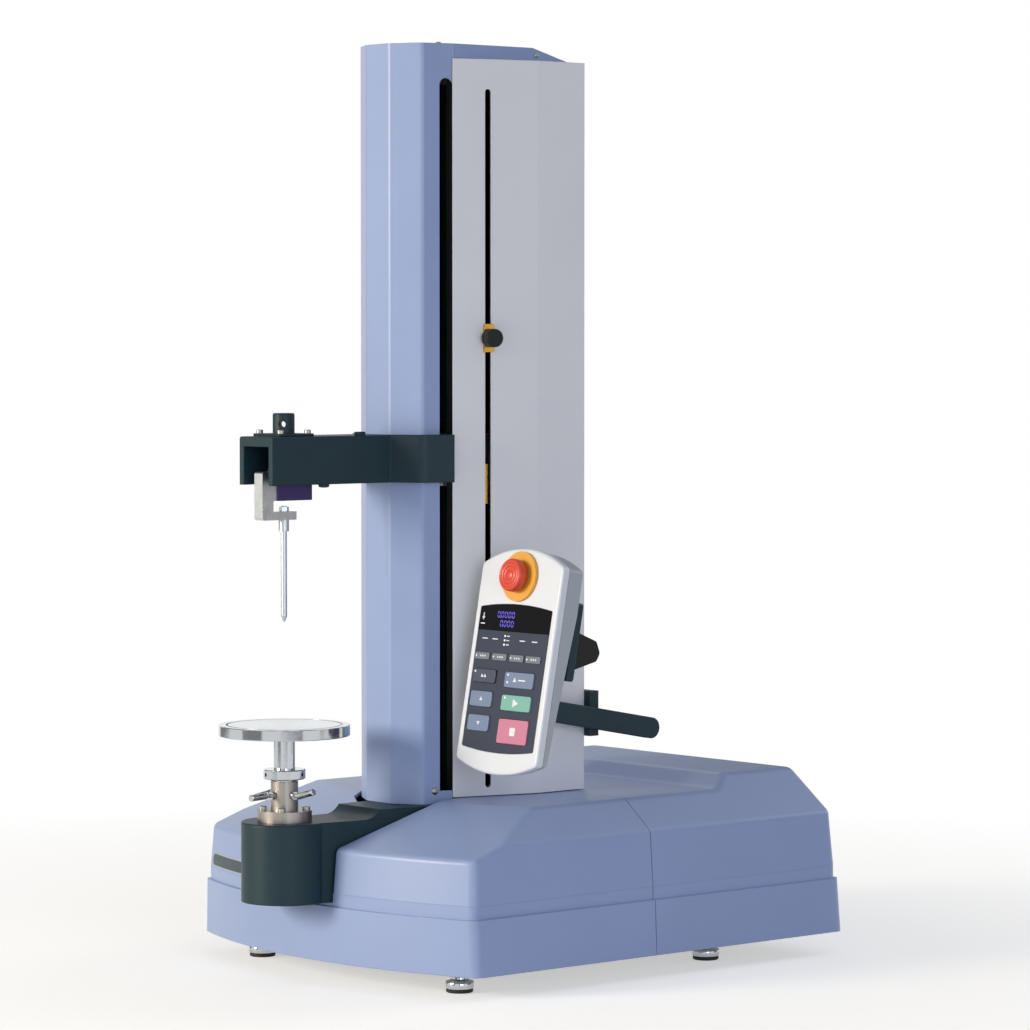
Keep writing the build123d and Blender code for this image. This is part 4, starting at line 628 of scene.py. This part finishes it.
def zero(mesh, x, up):
    """A lit zero about (x, up)."""
    for across, level, (wide, high) in zero_bars:
        bar_x = x + across * digit_wide / 2
        bar_up = up + level * digit_high / 2
        slab(mesh, rounded(wide, high, bar_thick * 0.4, bar_x, bar_up, 2), face, 0.0, bar_height)


mesh = bmesh.new()
for up, first_x, count in ((43.8, -23.0, 5), (35.6, -18.0, 4)):
    for k in range(count):
        zero(mesh, first_x + digit_pitch * k, up)
    slab(mesh, rounded(0.8, 0.8, 0.3, first_x + 2.4, up - 2.6, 2), face, 0.0, bar_height)
piece("display_digits", mesh, digit_glow, "holder")
print("display built")

# %% Build the lamps, small keys and legends
def arrow(x, up, size, turn=1):
    """Triangle that points up the face, or down it where turn is -1."""
    return [(x - size, up - turn * size * 0.7), (x + size, up - turn * size * 0.7), (x, up + turn * size)]


unit_lamps_up = (24.4, 20.4, 16.4)
small_key_up = 4.75
small_key_spans = ((-48, -28), (-24, -4), (0, 19.5), (22.5, 43))
mesh = bmesh.new()
for up in unit_lamps_up:
    slab(mesh, rounded(1.9, 1.9, 0.9, -10.5, up), face, -0.3, 0.15)
for x in (-46.0, -22.2, 2.0, 24.4):
    slab(mesh, rounded(1.5, 1.5, 0.7, x, small_key_up), face, 0.3, 0.75)
piece("indicator_lamps", mesh, lamp_lens, "holder")

mesh = bmesh.new()
for left, right in small_key_spans:
    cap = rounded(right - left - 0.4, 6.2, 1.1, (left + right) / 2, small_key_up)
    slab(mesh, cap, face, -0.3, 0.62)
piece("small_keys", mesh, grey_cap, "holder", bevel_mm=0.15)
print("lamps and small keys built")

# %% Print the film's legends
mesh = bmesh.new()
for x in (-37.0, -13.0, 10.5, 33.5):
    for shift in (-3.0, 0.0, 3.0):
        slab(mesh, rounded(1.6, 1.6, 0.3, x + shift, small_key_up, 2), face, 0.55, 0.72)
for x in (-38.0, -24.0, 14.0, 31.0):
    slab(mesh, rounded(7.5, 1.0, 0.4, x, 21.0, 2), face, -0.2, 0.1)
for up in unit_lamps_up:
    slab(mesh, rounded(4.0, 1.0, 0.4, -6.0, up, 2), face, -0.2, 0.1)
slab(mesh, [(-46, 41), (-42, 41), (-44, 38)], face, 0.0, bar_height)
slab(mesh, rounded(1.2, 4.0, 0.3, -44, 42.6, 2), face, 0.0, bar_height)
slab(mesh, rounded(6.0, 1.0, 0.3, -44, 34.6, 2), face, 0.0, bar_height)
piece("film_legends", mesh, print_ink, "holder")
print("film legends printed")

# %% Print the keys' legends and set their lamps
key_top = 1.2
print_height = 0.1
legends = {"up": [arrow(-30.7, -34.7, 2.2)], "down": [arrow(-30.0, -56.9, 2.2, -1)],
           "start": [[(14, -32.2), (14, -39.8), (21.4, -36.0)]],
           "stop": [rounded(7.5, 7.5, 1.0, 18.8, -62.0)],
           "return": [arrow(12.4, -15.0, 2.4), rounded(10.0, 1.3, 0.5, 22.0, -15.0, 2)],
           "speed": [arrow(-33.5, -13.5, 1.8), arrow(-29.5, -13.5, 1.8)]}
for name, shapes in legends.items():
    mesh = bmesh.new()
    for shape in shapes:
        slab(mesh, shape, face, key_top - print_height, key_top + print_height)
    piece("legend_" + name, mesh, print_ink, body_of_node["key_" + name])

key_lamps = {"speed": [(-43.6, -9.8)], "return": [(2.6, -10.6), (2.6, -17.4)], "start": [(2.6, -31.6)]}
for name, places in key_lamps.items():
    mesh = bmesh.new()
    for x, up in places:
        slab(mesh, rounded(1.9, 1.9, 0.9, x, up), face, key_top - print_height, key_top + 2 * print_height)
    piece("lamp_" + name, mesh, lamp_lens, body_of_node["key_" + name])
print("legends on", len(legends), "keys, lamps on", len(key_lamps))

# %% [markdown]
# ## Studio
# The photograph was taken in a white studio with one large soft light at the left front
# and a weaker fill at the right. The floor and the sky behind are white to the camera
# and to reflections only, so that they put no extra light on the machine.

# %% Light the studio
def soft_light(name, place, target, size, watts, colour="#ffffff"):
    """Round area lamp that faces its target."""
    data = bpy.data.lights.new(name, "AREA")
    data.shape = "DISK"
    data.size = size
    data.energy = watts
    data.color = linear(colour)[:3]
    lamp = bpy.data.objects.new(name, data)
    lamp.location = place
    lamp.rotation_euler = (Vector(place) - Vector(target)).to_track_quat("Z", "Y").to_euler()
    bpy.context.scene.collection.objects.link(lamp)


middle = (0, 0, 0.4)
soft_light("key_light", (-0.9, -3.2, 1.0), middle, 1.2, 90, "#fff3dc")
soft_light("fill_light", (3.1, -1.3, 0.9), middle, 1.6, 24, "#e6eeff")
soft_light("rear_light", (0.6, 2.8, 1.6), middle, 1.6, 16)
print("three soft lights")

# %% Light the room
world = bpy.data.worlds.new("white_studio")
world.use_nodes = True
bpy.context.scene.world = world
tree = world.node_tree
sky = tree.nodes["Background"]
rays = add_node(tree, "ShaderNodeLightPath")
seen = add_node(tree, "ShaderNodeMath", operation="MAXIMUM",
                links=[(0, rays.outputs["Is Camera Ray"]), (1, rays.outputs["Is Glossy Ray"])])
seen = add_node(tree, "ShaderNodeMath", operation="MAXIMUM",
                links=[(0, seen.outputs["Value"]), (1, rays.outputs["Is Transmission Ray"])])
level = add_node(tree, "ShaderNodeMapRange", links=[("Value", seen.outputs["Value"])],
                 values=[("To Min", 0.30), ("To Max", 1.0)])
tree.links.new(level.outputs["Result"], sky.inputs["Strength"])

# Dark flags stand round the set, between the lamps. Only reflections meet them.
around = add_node(tree, "ShaderNodeTexCoord")
toward = add_node(tree, "ShaderNodeSeparateXYZ", links=[("Vector", around.outputs["Generated"])])
bearing = add_node(tree, "ShaderNodeMath", operation="ARCTAN2",
                   links=[(0, toward.outputs["Y"]), (1, toward.outputs["X"])])
swing = add_node(tree, "ShaderNodeMath", operation="MULTIPLY_ADD", links=[(0, bearing.outputs["Value"])],
                 values=[(1, 5.0), (2, 0.6)])
wave = add_node(tree, "ShaderNodeMath", operation="SINE", links=[(0, swing.outputs["Value"])])
flags = ramp(tree, wave.outputs["Value"], [(0.0, (0.10, 0.11, 0.12, 1)), (0.25, (1, 1, 1, 1))])
mirror_only = add_node(tree, "ShaderNodeMath", operation="MULTIPLY",
                       links=[(0, rays.outputs["Is Glossy Ray"])], values=[(1, 0.85)])
backdrop = add_node(tree, "ShaderNodeMix", data_type="RGBA",
                    links=[("Factor", mirror_only.outputs["Value"]), ("B", flags)])
backdrop.inputs["A"].default_value = (1, 1, 1, 1)
tree.links.new(backdrop.outputs["Result"], sky.inputs["Color"])
print("room lit")

# %% Lay the paper floor
floor_mesh = bpy.data.meshes.new("studio_floor")
half = 2.2
floor_corners = [(-half, -half, 0), (half, -half, 0), (half, half, 0), (-half, half, 0)]
floor_mesh.from_pydata(floor_corners, [], [(0, 1, 2, 3)])
floor = bpy.data.objects.new("studio_floor", floor_mesh)
bpy.context.scene.collection.objects.link(floor)
floor_paint, tree, surface = start_material("white_studio_paper", Roughness=0.8)
surface.inputs["Base Color"].default_value = linear("#e8e8e8")
rays = add_node(tree, "ShaderNodeLightPath")
glow = add_node(tree, "ShaderNodeEmission")
seen = add_node(tree, "ShaderNodeMath", operation="MAXIMUM",
                links=[(0, rays.outputs["Is Camera Ray"]), (1, rays.outputs["Is Glossy Ray"])])
lift = add_node(tree, "ShaderNodeMapRange", links=[("Value", seen.outputs["Value"])],
                values=[("To Min", 0.0), ("To Max", 0.42)])
tree.links.new(lift.outputs["Result"], glow.inputs["Strength"])
both = add_node(tree, "ShaderNodeAddShader",
                links=[(0, surface.outputs["BSDF"]), (1, glow.outputs["Emission"])])
from_middle = add_node(tree, "ShaderNodeVectorMath", operation="LENGTH", links=[(0, place_coordinates(tree))])
away = add_node(tree, "ShaderNodeMapRange", links=[("Value", from_middle.outputs["Value"])],
                values=[("From Min", 0.45), ("From Max", 1.3)])
far_and_seen = add_node(tree, "ShaderNodeMath", operation="MULTIPLY",
                        links=[(0, away.outputs["Result"]), (1, seen.outputs["Value"])])
white = add_node(tree, "ShaderNodeEmission", values=[("Strength", 1.0)])
paper = add_node(tree, "ShaderNodeMixShader",
                 links=[(0, far_and_seen.outputs["Value"]), (1, both.outputs["Shader"]),
                        (2, white.outputs["Emission"])])
tree.links.new(paper.outputs["Shader"], tree.nodes["Material Output"].inputs["Surface"])
floor.data.materials.append(floor_paint)
print("studio ready")
